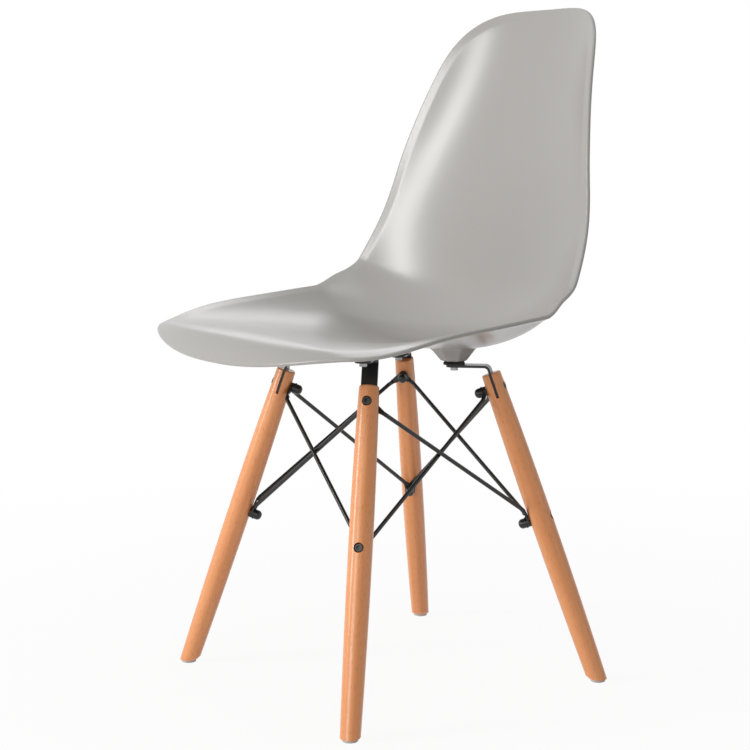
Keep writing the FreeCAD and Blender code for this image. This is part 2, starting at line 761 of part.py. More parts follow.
def make_dome_nut(corner, level):
    """Domed nut with a flange, on the inner side of the leg over the two rod eyes."""
    nut = new_body(f"dome_nut_{level}_{corner}", corner)
    spot = (f"places.{level}_bolt_radius", f"places.{level}_bolt_height")
    base = f"places.{level}_nut_base"
    bore = "sizes.leg_bolt_diameter / 2 + sizes.thread_clearance"
    turned(nut, "nut", spot, "180 + places.splay", (
        (base, bore),
        (base, "sizes.nut_flange_diameter / 2"),
        (f"{base} + sizes.nut_flange_thickness", "sizes.nut_flange_diameter / 2"),
        (f"{base} + sizes.nut_flange_thickness", "sizes.nut_dome_diameter / 2"),
        (f"{base} + sizes.nut_height", "sizes.nut_dome_diameter / 2"),
        (f"{base} + sizes.nut_height", "0"),
        (f"{base} + sizes.nut_bore_depth", "0"),
        (f"{base} + sizes.nut_bore_depth", bore),
    ))
    reach = getattr(places, f"{level}_nut_base") + sizes.nut_height
    splay = math.radians(places.splay)
    crown = Vector(getattr(places, f"{level}_bolt_radius") - reach * math.cos(splay), 0,
                   getattr(places, f"{level}_bolt_height") - reach * math.sin(splay))

    def crown_edge(edge):
        round_edge = isinstance(edge.Curve, Part.Circle)
        return round_edge and edge.Curve.Center.distanceToPoint(crown) < NEAR

    ease_edges(nut, "PartDesign::Fillet", "dome", crown_edge, "Radius", "sizes.nut_dome_rounding")
    return nut


class Joint:
    """One bolt of the base: its point on the leg's axis and the directions there."""

    def __init__(self, corner, level):
        angle = math.radians(CORNERS[corner])
        splay = math.radians(places.splay)
        outward = Vector(math.cos(angle), math.sin(angle), 0)
        up = Vector(0, 0, 1)
        radius = getattr(places, f"{level}_bolt_radius")
        self.centre = outward * radius + up * getattr(places, f"{level}_bolt_height")
        self.inward = outward * -math.cos(splay) - up * math.sin(splay)
        self.level = level

    def eye(self, layer):
        """Middle of the leg side of the eye in this layer."""
        return self.centre + self.inward * getattr(places, f"{self.level}_{layer}_tab")

    def towards(self, target):
        """Unit vector square to the bolt that points to the target."""
        way = target - self.centre
        return (way - self.inward * way.dot(self.inward)).normalize()


def rod_ends(first, second, layer, reach):
    """For both ends of a rod: its eye, the tab's direction, the bend and the bolt's way in."""
    ends = []
    for joint, other in ((first, second), (second, first)):
        eye = joint.eye(layer)
        way = joint.towards(other.eye(layer))
        bend = eye + joint.inward * (sizes.rod_diameter / 2) + way * reach
        ends.append((eye, way, bend, joint.inward))
    return ends


def outer_tab_reach(upper, lower, other_upper, other_lower):
    """Tab length of the outer rod at which it just passes outside the inner rod."""
    inner = rod_ends(other_upper, other_lower, "inner", sizes.inner_tab_reach)
    wanted = sizes.rod_diameter + sizes.rod_cross_gap
    outward = (upper.centre + other_upper.centre)
    outward.z = 0
    low = 0.0
    high = 6 * sizes.inner_tab_reach
    for _ in range(60):
        middle = (low + high) / 2
        outer = rod_ends(upper, lower, "outer", middle)
        inner_way = inner[1][2] - inner[0][2]
        outer_way = outer[1][2] - outer[0][2]
        across = inner_way.cross(outer_way).normalize()
        if across.dot(outward) < 0:
            across = across * -1
        if (outer[0][2] - inner[0][2]).dot(across) < wanted:
            low = middle
        else:
            high = middle
    return high


def bent_wire(points, radius):
    """Straight runs through the points, joined by tangent arcs."""
    edges = []
    start = points[0]
    for before, corner, after in zip(points, points[1:], points[2:]):
        back = (before - corner).normalize()
        ahead = (after - corner).normalize()
        turn = math.pi - back.getAngle(ahead)
        trim = radius * math.tan(turn / 2)
        first = corner + back * trim
        last = corner + ahead * trim
        to_middle = (back + ahead).normalize()
        middle = corner + to_middle * (radius / math.cos(turn / 2) - radius)
        edges.append(Part.LineSegment(start, first).toShape())
        edges.append(Part.Arc(first, middle, last).toShape())
        start = last
    edges.append(Part.LineSegment(start, points[-1]).toShape())
    return Part.Wire(edges)


def rod_tab(eye, way, inward, neck):
    """Flattened end of a rod: a disc round the bolt and a neck that narrows to the rod."""
    side = inward.cross(way)
    wide = sizes.tab_diameter / 2
    narrow = sizes.rod_diameter / 2
    disc = Part.makeCylinder(wide, sizes.tab_thickness, eye, inward)
    corners = [
        eye + side * wide,
        eye + way * neck + side * narrow,
        eye + way * neck - side * narrow,
        eye - side * wide,
    ]
    neck_face = Part.Face(Part.makePolygon(corners + corners[:1]))
    tab = disc.fuse(neck_face.extrude(inward * sizes.tab_thickness)).removeSplitter()
    hole = Part.makeCylinder(sizes.leg_bolt_hole / 2, 3 * sizes.tab_thickness,
                             eye - inward * sizes.tab_thickness, inward)
    return tab.cut(hole)


def make_cross_rod(label, ends, reach):
    """Round rod between two flattened eyes, bent where it leaves them."""
    radius = sizes.rod_diameter / 2
    (eye_a, way_a, bend_a, inward_a), (eye_b, way_b, bend_b, inward_b) = ends
    body_way = (bend_b - bend_a).normalize()
    starts = []
    for way, bend, ahead in ((way_a, bend_a, body_way), (way_b, bend_b, body_way * -1)):
        turn = way.getAngle(ahead)
        run = sizes.rod_bend_radius * math.tan(turn / 2) + sizes.tab_straight_run
        starts.append((bend - way * run, reach - run))
    wire = bent_wire([starts[0][0], bend_a, bend_b, starts[1][0]], sizes.rod_bend_radius)
    ring = Part.Wire([Part.makeCircle(radius, starts[0][0], way_a)])
    solid = wire.makePipeShell([ring], True, False)
    pieces = [Part.makeSphere(radius, start) for start, _ in starts]
    pieces.append(rod_tab(eye_a, way_a, inward_a, starts[0][1]))
    pieces.append(rod_tab(eye_b, way_b, inward_b, starts[1][1]))
    rod = doc.addObject("Part::Feature", label)
    rod.Label = label
    rod.Shape = solid.fuse(pieces).removeSplitter()
    return rod


def make_side_rods(side):
    """The two rods that cross on one side of the base."""
    corners = list(CORNERS)
    first = SIDES[side]
    second = corners[(corners.index(first) + 1) % len(corners)]
    upper, lower = Joint(first, "upper"), Joint(second, "lower")
    other_upper, other_lower = Joint(second, "upper"), Joint(first, "lower")
    reach = outer_tab_reach(upper, lower, other_upper, other_lower)
    make_cross_rod(f"cross_rod_{side}_outer", rod_ends(upper, lower, "outer", reach), reach)
    make_cross_rod(f"cross_rod_{side}_inner",
                   rod_ends(other_upper, other_lower, "inner", sizes.inner_tab_reach),
                   sizes.inner_tab_reach)


def shell_outline(form):
    """Closed outline of the shell as along and across pairs.

    Both ends are parts of superellipses, and the sides between them are its full width.
    """
    front = sizes.front_corner_depth
    top = sizes.top_corner_depth
    steps = 9
    half = []
    for step in range(steps + 1):
        angle = math.pi / 2 * step / steps
        power = 2 / sizes.front_corner_power
        half.append((front * (1 - math.cos(angle) ** power), math.sin(angle) ** power))
    side_steps = 14
    for step in range(1, side_steps):
        half.append((front + (form.length - top - front) * step / side_steps, 1.0))
    for step in range(steps + 1):
        angle = math.pi / 2 * step / steps
        power = 2 / sizes.top_corner_power
        half.append((form.length - top + top * math.sin(angle) ** power, math.cos(angle) ** power))
    return half + [(along, -across) for along, across in reversed(half[1:-1])]


def shell_face(form, lift):
    """Smooth surface through points of the form, a little larger than its outline."""
    margin = 8.0
    wider = 1.05
    rows = 49
    columns = 21
    grid = []
    for row in range(rows):
        along = -margin + (form.length + 2 * margin) * row / (rows - 1)
        line = []
        for column in range(columns):
            across = -wider + 2 * wider * column / (columns - 1)
            line.append(form.lifted(along, across, lift))
        grid.append(line)
    surface = Part.BSplineSurface()
    surface.interpolate(grid)
    return surface


def rim_edge(form, surface, lift):
    """The shell's outline drawn on one of its surfaces."""
    spots = []
    for along, across in shell_outline(form):
        u, v = surface.parameter(form.lifted(along, across, lift))
        spots.append(Base.Vector2d(u, v))
    curve = Part.Geom2d.BSplineCurve2d()
    curve.interpolate(Points=spots, PeriodicFlag=True)
    return curve.toShape(surface)


def boss_taper(x, y, bottom, height):
    """Eight-sided taper with broken bottom edges, widening upward from the boss's bottom."""
    slope = math.tan(math.radians(sizes.boss_side_angle))
    edge_break = sizes.boss_edge_break
    levels = (
        (bottom, sizes.boss_bottom_flats - 2 * edge_break),
        (bottom + edge_break, sizes.boss_bottom_flats + 2 * edge_break * slope),
        (bottom + height, sizes.boss_bottom_flats + 2 * height * slope),
    )
    rings = []
    for z, flats in levels:
        radius = flats / 2 / math.cos(math.pi / 8)
        ring = []
        for facet in range(8):
            angle = math.pi / 8 + facet * math.pi / 4
            ring.append(Vector(x + radius * math.cos(angle), y + radius * math.sin(angle), z))
        rings.append(Part.makePolygon(ring + ring[:1]))
    return Part.makeLoft(rings, True, True)


def boss_faces(form, surface, corner):
    """The faces of one boss below the shell, and the wire along which it meets the shell."""
    end = corner.split("_")[0]
    angle = math.radians(CORNERS[corner])
    radius = getattr(places, f"{end}_seat_bolt_radius")
    x = radius * math.cos(angle)
    y = radius * math.sin(angle)
    bottom = getattr(places, f"{end}_boss_bottom")
    along, across = form.under(x, y)
    height = form.point(along, across).z - bottom + 5 * sizes.shell_wall
    reach = sizes.boss_bottom_flats / 2 + height * math.tan(math.radians(sizes.boss_side_angle))
    share = 1.3 * reach / form.half_width(along)
    u_low, v_low = surface.parameter(form.point(along - 1.5 * reach, across - share))
    u_high, v_high = surface.parameter(form.point(along + 1.5 * reach, across + share))
    patch = surface.toShape(min(u_low, u_high), max(u_low, u_high), min(v_low, v_high), max(v_low, v_high))
    boss = boss_taper(x, y, bottom, height).cut(patch.extrude(Vector(0, 0, 4 * height)))
    bore = sizes.insert_diameter / 2 + sizes.insert_clearance
    depth = sizes.insert_length + sizes.insert_clearance
    boss = boss.cut(Part.makeCylinder(bore, depth, Vector(x, y, bottom)))
    seam = max(boss.Faces, key=lambda face: face.CenterOfMass.z)
    sides = [face for face in boss.Faces if not face.isSame(seam)]
    return sides, seam.OuterWire


def make_seat_shell(form):
    """The one-piece seat and back: a wall between two faces, with four moulded bosses."""
    faces = []
    rims = []
    for lift in (0.0, sizes.shell_wall):
        surface = shell_face(form, lift)
        rim = rim_edge(form, surface, lift)
        face = Part.Face(surface, Part.Wire([rim]))
        if not lift:
            seams = []
            for corner in CORNERS:
                sides, seam = boss_faces(form, surface, corner)
                faces += sides
                seams.append(seam)
            face.cutHoles(seams)
            face.validate()
        faces.append(face)
        rims.append(rim)
    faces += Part.makeRuledSurface(rims[0], rims[1]).Faces
    skin = Part.makeShell(faces)
    skin.sewShape(NEAR)
    solid = Part.makeSolid(skin)
    if solid.Volume < 0:
        solid.reverse()
    shell = doc.addObject("Part::Feature", "seat_shell")
    shell.Label = "seat_shell"
    shell.Shape = solid
    return shell


def check_and_write():
    """Stop on any failed object or bad shape, then write one file for each sub-part."""
    doc.recompute()
    for thing in doc.Objects:
        if "Invalid" in thing.State or "Error" in thing.State:
            raise RuntimeError(f"{thing.Name} failed: {thing.State}")
        cuts = thing.isDerivedFrom("PartDesign::Pocket") or thing.isDerivedFrom("PartDesign::Groove")
        if cuts and thing.Shape.Volume > thing.BaseFeature.Shape.Volume - NEAR:
            raise RuntimeError(f"{thing.Name} cuts nothing")
    pieces = [thing for thing in doc.Objects if thing.TypeId in ("PartDesign::Body", "Part::Feature")]
    for piece in pieces:
        if piece.Shape.isNull() or not piece.Shape.isValid() or len(piece.Shape.Solids) != 1:
            raise RuntimeError(f"{piece.Label} has no sound solid")
    os.makedirs("parts", exist_ok=True)
    for piece in pieces:
        piece.Shape.exportStep(f"parts/{piece.Label}.step")
        print(piece.Label, round(piece.Shape.Volume / 1000, 2), "cm3")


fill_sheet(sizes, SIZES)
fill_sheet(places, stance_places())
form = ShellForm()
fill_sheet(places, {**stance_places(), **fitted_places(form)})

make_seat_shell(form)
for corner in CORNERS:
    make_insert(corner)
    make_spacer(corner)
    make_bracket(corner)
    make_seat_bolt(corner)
    make_leg(corner)
    make_glide(corner)
    make_glide_nail(corner)
    for level in ("upper", "lower"):
        make_leg_bolt(corner, level)
        make_dome_nut(corner, level)
for side in SIDES:
    make_side_rods(side)
check_and_write()
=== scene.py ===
import math

import bmesh
import bpy
import numpy as np
from bpy.props import FloatProperty, FloatVectorProperty, PointerProperty
from mathutils import Matrix, Vector


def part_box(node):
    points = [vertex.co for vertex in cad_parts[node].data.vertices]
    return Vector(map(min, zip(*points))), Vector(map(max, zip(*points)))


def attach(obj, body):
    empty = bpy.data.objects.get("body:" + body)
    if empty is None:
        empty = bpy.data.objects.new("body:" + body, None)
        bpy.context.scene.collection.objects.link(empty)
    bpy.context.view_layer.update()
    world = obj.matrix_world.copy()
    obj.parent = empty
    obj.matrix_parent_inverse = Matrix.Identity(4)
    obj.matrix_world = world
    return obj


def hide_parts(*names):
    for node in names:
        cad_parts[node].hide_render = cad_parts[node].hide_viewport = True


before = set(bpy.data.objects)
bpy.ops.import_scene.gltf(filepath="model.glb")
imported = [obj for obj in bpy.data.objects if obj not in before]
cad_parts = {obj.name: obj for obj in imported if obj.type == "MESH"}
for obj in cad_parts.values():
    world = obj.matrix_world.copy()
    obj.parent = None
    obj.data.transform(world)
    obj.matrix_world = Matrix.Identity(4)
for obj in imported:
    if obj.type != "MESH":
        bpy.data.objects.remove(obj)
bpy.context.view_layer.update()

bl_info = {
    "name": "Moulded shell chair",
    "version": (1, 0, 0),
    "blender": (4, 5, 0),
    "location": "3D View > Sidebar > Chair",
    "description": "Plastic shell chair on beech dowel legs, dressed round its solids",
    "category": "Object",
}

MM = 0.001
# Diagonal of each corner, in degrees about +Z
CORNERS = {"rear_left": 45.0, "rear_right": 135.0, "front_right": 225.0, "front_left": 315.0}
SIDES = ("rear", "right", "front", "left")


def arc(radius, turn):
    """Length and turn of an arc, from its radius and its turn in degrees."""
    return radius * math.radians(abs(turn)), turn


# Sizes of the shell's form, in millimetres and degrees

# Length and turn of each stretch of the centre line, from the front lip to the top
STRETCHES = (
    arc(50.0, -69.0),
    (241.0, 0.0),
    arc(100.0, 84.0),
    (120.0, 0.0),
    arc(500.0, -4.5),
    (185.5, 0.0),
)
# y, z and heading of the centre line at the lip
LINE_START = (-244.1, 405.2, 62.0)
# Stretch and share of it, half width and edge rise there
STATIONS = (
    (0, 0.0, 244.0, -28.0),
    (0, 1.0, 244.0, -10.0),
    (1, 0.35, 244.0, 19.5),
    (1, 0.66, 243.3, 37.3),
    (1, 1.0, 239.0, 55.0),
    (2, 0.5, 231.0, 63.5),
    (2, 1.0, 220.3, 47.6),
    (3, 0.52, 206.5, 33.0),
    (4, 1.0, 181.0, 33.0),
    (5, 0.475, 155.0, 32.5),
    (5, 1.0, 127.0, 22.0),
)
SECTION_POWER = 2.4
# Depth and superellipse power of the outline's corners
FRONT_CORNER = (150.0, 2.4)
TOP_CORNER = (110.0, 3.6)
# Where the search for the face over a point starts on the seat's straight stretch, and its rounds
SEARCH_START = 120.0
SEARCH_ROUNDS = 60

# Sizes of the shell's rim and its turned-out band, in millimetres

# The front band has narrowed to the side band by this place of the centre line, over this length
BAND_NARROW_BY = 330.0
BAND_NARROWS_OVER = 300.0
# A higher number makes the crease sharper where the ramp and the fall meet; the fall has this power
CREASE_SHARPNESS = 14.0
FALL_POWER = 1.5
# The thicker rim thins to the wall over about this depth
THINS_OVER = 9.0

# The shell's grid of points

# Rows round the outline, and the samples that its outline and its rays are measured with
OUTLINE_POINTS = 440
OUTLINE_SAMPLES = 1200
RAY_SAMPLES = 240
# Columns round the rim, and on each face from the near ones to the spine
RIM_COLUMNS = 13
FAR_COLUMNS = 33
# Depth in from the rim of a face's first column, in rim roundings
FIRST_COLUMN = 1.6
# Depths of the next columns for a band of this width, closest together at the crease
COLUMN_BAND = 14.0
NEAR_COLUMNS = (
    6.0, 7.7, 9.2, 10.6, 11.8, 12.9, 14.0, 15.1, 16.3, 17.8, 19.8, 22.5, 26.0, 31.0, 38.0, 47.0, 58.0,
)

# Sizes of the bosses, in millimetres and degrees

BOSS_SIDES = 8
# Angle of the sides to the vertical
BOSS_SLOPE = 38.0
BOSS_BORE_RADIUS = 4.6
BOSS_BORE_DEPTH = 8.1
# Radius of the bottom's rounded edge, and the share of it above the bottom where the sides begin
BOSS_EASE = 1.5
SIDES_BEGIN = 0.6
# A higher number draws the edges between the eight sides sharper
BOSS_SHARPNESS = 60.0
# How far the fillet's end and the closed top go into the shell's wall
FILLET_SINK = 0.06
TOP_SINK = 1.6
BOSS_POINTS = 96
# First guess, least and most of a side's rise to the shell, and the rounds of the search for it
RISE_START, RISE_LEAST, RISE_MOST = 12.0, 1.0, 60.0
RISE_ROUNDS = 60

# Places of the legs, the camera and the studio

# The legs' lean from the vertical in degrees, and their feet's distance from the middle in metres
LEG_SPLAY = 19.32
LEG_FOOT = 0.2568
# How far the grain is shifted from each leg to the next, in metres
GRAIN_STEP = (0.31, 0.17, 0.07)

# Where the photograph was taken from, in metres and degrees
CAMERA_PLACE = (1.7472, -1.2359, 0.6741)
CAMERA_YAW, CAMERA_PITCH, CAMERA_ROLL = 145.137, -8.084, -0.355
# Its lens and sensor in millimetres, and how far it sees in metres
CAMERA_LENS, CAMERA_SENSOR = 85.745, 36.0
CAMERA_SIGHT = 60.0

# The lamps stand about 3 m from this point of the chair and face it
AIM = Vector((0.0, 0.0, 0.55))
# Name, place, width and height in metres, and the setting of its power
LAMPS = (
    ("key_light", (-1.12, -2.63, 1.48), (0.6, 1.7), "key_power"),
    ("front_light", (0.98, -2.70, 0.90), (1.1, 1.1), "front_power"),
    ("top_light", (0.0, 0.0, 3.55), (1.3, 1.3), "top_power"),
    ("rear_light", (1.30, 2.25, 2.05), (1.1, 1.1), "rear_power"),
    ("side_light", (-2.57, 1.54, 1.66), (1.4, 0.8), "side_power"),
)
# The floor reaches this far each way, in metres, with this many points along a side
FLOOR_REACH = 9.0
FLOOR_POINTS = 25

WHITE = (1.0, 1.0, 1.0, 1.0)
# A Mix node set to colours has these sockets for its two colours and its result
MIX_FIRST, MIX_SECOND, MIX_RESULT = 6, 7, 2
# Points nearer to each other than about this, in metres, become one
WELD = 1e-7


# Settings


def linear(hex_value):
    """A colour written as sRGB hex, as linear red, green and blue."""
    parts = [int(hex_value[i:i + 2], 16) / 255 for i in (1, 3, 5)]
    return tuple(part / 12.92 if part <= 0.04045 else ((part + 0.055) / 1.055) ** 2.4 for part in parts)


def colour_setting(name, hex_value, description):
    return FloatVectorProperty(name=name, description=description, subtype="COLOR", size=3,
                               min=0.0, max=1.0, default=linear(hex_value))


def length_setting(name, millimetres, description):
    return FloatProperty(name=name, description=description, unit="LENGTH", min=0.0,
                         precision=4, default=millimetres * MM)


def power_setting(name, watts, description):
    return FloatProperty(name=name, description=description, unit="POWER", min=0.0, default=watts)


class ShellSettings(bpy.types.PropertyGroup):
    """Sizes and colour of the moulded shell's finer forms."""
    wall: length_setting("Wall", 4.0, "Thickness of the shell")
    rim_wall: length_setting("Rim wall", 4.5, "Thickness of the shell at its rim")
    rim_round: length_setting("Rim rounding", 2.3, "Depth of the rounded rim")
    side_flange: length_setting("Side flange", 14.0, "Width of the turned-out band along the sides")
    front_flange: length_setting("Front flange", 26.0, "Width of the turned-down band at the front")
    flange_height: length_setting("Flange crease", 1.4, "How far the crease stands towards the sitter")
    flange_decay: length_setting("Flange run-out", 34.0, "Distance over which the crease fades out")
    boss_flats: length_setting("Boss width", 30.0, "Width over the flats of a boss at its bottom")
    boss_fillet: length_setting("Boss fillet", 4.0, "Run of the fillet between a boss and the shell")
    colour: colour_setting("Shell colour", "#AAA7A3", "Warm light grey pigment of the shell")


class WoodSettings(bpy.types.PropertyGroup):
    """Colours of the lacquered beech."""
    light: colour_setting("Light wood", "#F6AB72", "Early wood of the beech")
    dark: colour_setting("Dark wood", "#E68F4D", "Late wood of the beech")
    fleck: colour_setting("Ray flecks", "#BE6F3A", "Short dark rays that beech shows along the grain")


class MetalSettings(bpy.types.PropertyGroup):
    """Colours of the steel parts, the rubber, the glides and the inserts."""
    black: colour_setting("Black coating", "#100E0F", "Powder coat on the rods, brackets and nuts")
    burnished: colour_setting("Burnished steel", "#4C4B4B", "Oil-blackened steel of the leg bolts")
    zinc: colour_setting("Zinc", "#A9A9A8", "Zinc plating of the seat bolts and the glides' nails")
    rubber: colour_setting("Rubber", "#171616", "Rubber spacers")
    glide: colour_setting("Glide", "#CFCBC6", "Plastic glides under the legs")
    brass: colour_setting("Brass", "#C9A257", "Threaded inserts")


class StageSettings(bpy.types.PropertyGroup):
    """The studio round the chair."""
    floor: colour_setting("Floor", "#F2F1F0", "Pale studio floor")
    key_power: power_setting("Key light", 50.0, "Power of the tall softbox that draws the long highlight")
    front_power: power_setting("Front light", 20.0, "Power of the light before the chair")
    top_power: power_setting("Top light", 17.0, "Power of the light overhead")
    rear_power: power_setting("Rear light", 5.0, "Power of the light behind the sitter's left")
    side_power: power_setting("Side light", 4.5, "Power of the light behind the sitter's right")
    ambient: FloatProperty(name="Ambient", description="Strength of the light from all round",
                           min=0.0, default=0.225)


class ChairSettings(bpy.types.PropertyGroup):
    """All that a user would change."""
    shell: PointerProperty(type=ShellSettings)
    wood: PointerProperty(type=WoodSettings)
    metal: PointerProperty(type=MetalSettings)
    stage: PointerProperty(type=StageSettings)


# Meshes


def new_piece(name, points, faces, body="root", stands_for=()):
    """A smooth mesh object at the origin, from arrays of points and faces."""
    mesh = bpy.data.meshes.new(name)
    mesh.from_pydata(np.asarray(points, float), [], [tuple(face) for face in faces])
    mesh.validate()
    mesh.polygons.foreach_set("use_smooth", np.ones(len(mesh.polygons), bool))
    piece = bpy.data.objects.new(name, mesh)
    bpy.context.scene.collection.objects.link(piece)
    if body:
        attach(piece, body)
    if stands_for:
        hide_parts(*stands_for)
    return piece


def outward(piece):
    """Faces of a closed piece point outwards."""
    work = bmesh.new()
    work.from_mesh(piece.data)
    bmesh.ops.recalc_face_normals(work, faces=work.faces)
    work.to_mesh(piece.data)
    work.free()


def grid_faces(rows, columns, closed=False):
    """Quads over a grid of points in rows. closed joins the last row to the first."""
    row = np.arange(rows if closed else rows - 1)
    after = (row + 1) % rows
    column = np.arange(columns - 1)
    here = row[:, None] * columns + column
    there = after[:, None] * columns + column
    return np.stack([here, there, there + 1, here + 1], axis=-1).reshape(-1, 4)


def welded(points, faces):
    """Points that coincide become one, and quads that fold up become triangles."""
    keys = np.round(points / WELD).astype(np.int64)
    _, kept, place = np.unique(keys, axis=0, return_index=True, return_inverse=True)
    place = place.reshape(-1)
    faces = place[faces]
    doubled = faces == np.roll(faces, -1, axis=1)
    whole = ~doubled.any(axis=1)
    lean = faces[doubled.sum(axis=1) == 1]
    rows, columns = np.nonzero(~(lean == np.roll(lean, -1, axis=1)))
    thin = lean[rows, columns].reshape(-1, 3)
    return points[kept], [*faces[whole].tolist(), *thin.tolist()]


def running_length(points):
    """Length along each row of points, from 0 at its first."""
    steps = np.linalg.norm(np.diff(points, axis=-2), axis=-1)
    return np.concatenate([np.zeros_like(steps[..., :1]), np.cumsum(steps, axis=-1)], axis=-1)


# The shell's form


def natural_spline(knots, values):
    """The natural cubic spline through the values at the knots, as a function of an array."""
    knots, values = np.asarray(knots, float), np.asarray(values, float)
    gaps = np.diff(knots)
    count = len(knots)
    matrix = np.eye(count)
    known = np.zeros(count)
    for i in range(1, count - 1):
        matrix[i, i - 1:i + 2] = gaps[i - 1], 2 * (gaps[i - 1] + gaps[i]), gaps[i]
        known[i] = 3 * ((values[i + 1] - values[i]) / gaps[i] - (values[i] - values[i - 1]) / gaps[i - 1])
    curve = np.linalg.solve(matrix, known)

    def value_at(place):
        i = np.clip(np.searchsorted(knots, place, side="left") - 1, 0, count - 2)
        step = place - knots[i]
        slope = (values[i + 1] - values[i]) / gaps[i] - gaps[i] * (2 * curve[i] + curve[i + 1]) / 3
        bend = (curve[i + 1] - curve[i]) / (3 * gaps[i])
        return values[i] + step * (slope + step * (curve[i] + step * bend))

    return value_at


class ShellForm:
    """The shell's under and outer face.

    The centre line is arcs and straight runs in the middle plane. A point is the line's point, moved
    sideways by across times the half width, and square to the line by the edge rise times |across|
    to the section power. Half width and edge rise are natural splines of the place along the line.
    """

    def __init__(self):
        y, z, heading = LINE_START[0], LINE_START[1], math.radians(LINE_START[2])
        rows, start = [], 0.0
        for length, turn in STRETCHES:
            curvature = math.radians(turn) / length
            rows.append((start, y, z, heading, curvature))
            end = heading + curvature * length
            if curvature:
                y += (math.sin(end) - math.sin(heading)) / curvature
                z -= (math.cos(end) - math.cos(heading)) / curvature
            else:
                y += length * math.cos(heading)
                z += length * math.sin(heading)
            heading, start = end, start + length
        self.rows = np.array(rows)
        self.length = start
        knots = [rows[i][0] + share * STRETCHES[i][0] for i, share, _, _ in STATIONS]
        self.half_width = natural_spline(knots, [station[2] for station in STATIONS])
        self.edge_rise = natural_spline(knots, [station[3] for station in STATIONS])

    def centre(self, along):
        """y, z and heading of the centre line, as arrays."""
        row = self.rows[np.clip(np.searchsorted(self.rows[:, 0], along, side="right") - 1, 0, None)]
        start, y, z, heading, bend = np.moveaxis(row, -1, 0)
        run = along - start
        end = heading + bend * run
        straight = bend == 0
        safe = np.where(straight, 1.0, bend)
        ahead = np.where(straight, run * np.cos(heading), (np.sin(end) - np.sin(heading)) / safe)
        up = np.where(straight, run * np.sin(heading), -(np.cos(end) - np.cos(heading)) / safe)
        return y + ahead, z + up, end

    def point(self, along, across):
        """The face's points, as the class says."""
        along, across = np.broadcast_arrays(np.asarray(along, float), np.asarray(across, float))
        y, z, heading = self.centre(along)
        rise = self.edge_rise(along) * np.abs(across) ** SECTION_POWER
        return np.stack([self.half_width(along) * across, y - np.sin(heading) * rise,
                         z + np.cos(heading) * rise], axis=-1)

    def normal(self, along, across):
        """Unit vectors square to the face, towards the sitter, from central differences."""
        step, lean = 0.5, 0.002
        lengthways = self.point(along + step, across) - self.point(along - step, across)
        sideways = self.point(along, across + lean) - self.point(along, across - lean)
        square = np.cross(sideways, lengthways)
        return square / np.linalg.norm(square, axis=-1, keepdims=True)

    def height(self, x, y):
        """z of the seat's face over x and y, by repeated correction of along and across."""
        along = np.full(np.shape(x), self.rows[1, 0] + SEARCH_START)
        across = x / self.half_width(along)
        for _ in range(SEARCH_ROUNDS):
            along = along + (y - self.point(along, across)[..., 1])
            across = x / self.half_width(along)
        return self.point(along, across)[..., 2]


FORM = ShellForm()


def shell_outline():
    """Outline as places of along and across, evenly spaced by length.

    Both ends are parts of superellipses, and the sides between them are the full width.
    """
    angle = np.linspace(0.0, math.pi / 2, OUTLINE_SAMPLES)
    front, power = FRONT_CORNER[0], 2 / FRONT_CORNER[1]
    start = np.stack([front * (1 - np.cos(angle) ** power), np.sin(angle) ** power], axis=-1)
    side_along = np.linspace(front, FORM.length - TOP_CORNER[0], OUTLINE_SAMPLES)[1:-1]
    side = np.stack([side_along, np.ones_like(side_along)], axis=-1)
    top, power = TOP_CORNER[0], 2 / TOP_CORNER[1]
    end = np.stack([FORM.length - top + top * np.sin(angle) ** power, np.cos(angle) ** power], axis=-1)
    half = np.concatenate([start, side, end])
    other = half[-2:0:-1] * (1, -1)
    ring = np.concatenate([half, other, half[:1]])
    run = running_length(FORM.point(ring[:, 0], ring[:, 1]))
    wanted = np.linspace(0.0, run[-1], OUTLINE_POINTS, endpoint=False)
    return np.stack([np.interp(wanted, run, ring[:, i]) for i in (0, 1)], axis=-1)


def band_width(sizes, along):
    """Width of the turned-out band: the front's, which turns into the sides' by a smooth step."""
    share = np.clip((BAND_NARROW_BY - along) / BAND_NARROWS_OVER, 0.0, 1.0)
    front = share * share * (3 - 2 * share)
    return (sizes.side_flange + (sizes.front_flange - sizes.side_flange) * front) / MM


def band_crease(sizes, depth, width):
    """How far the faces stand towards the sitter, at depths in from the rim.

    It is the crease's height times the lesser of a ramp, from 0 at the rim to 1 at the band's
    width, and a soft fall from there into the bowl, rounded where the two meet.
    """
    ramp = depth / width
    run_out = sizes.flange_decay / MM / width
    fall = np.exp(-np.clip(ramp - 1.0, 0.0, None) ** FALL_POWER / run_out ** FALL_POWER)
    both = np.exp(-CREASE_SHARPNESS * ramp) + np.exp(-CREASE_SHARPNESS * fall)
    lesser = -np.log(both) / CREASE_SHARPNESS
    return sizes.flange_height / MM * np.clip(lesser, 0.0, None)


def skin_columns(sizes, width, reach):
    """Depth in from the rim of every column of the skin, and its lift from outer to inner face.

    The columns go down the outer face, round the rim by an ellipse, and back along the inner face.
    reach is the length from the rim to the spine.
    """
    rim_round = sizes.rim_round / MM
    first = np.full_like(width, FIRST_COLUMN * rim_round)
    near = np.array(NEAR_COLUMNS) * (width / COLUMN_BAND)
    last = near[:, -1:]
    far = last + (reach - last) * np.linspace(0.0, 1.0, FAR_COLUMNS + 1)[1:]
    face = np.concatenate([first, near, far], axis=1)
    turn = np.linspace(-math.pi / 2, math.pi / 2, RIM_COLUMNS)
    rim = np.broadcast_to(rim_round * (1 - np.cos(turn)), (len(width), RIM_COLUMNS))
    depth = np.concatenate([face[:, ::-1], rim, face], axis=1)
    lift = np.concatenate([np.zeros(face.shape[1]), (1 + np.sin(turn)) / 2, np.ones(face.shape[1])])
    return depth, lift


# Finishes


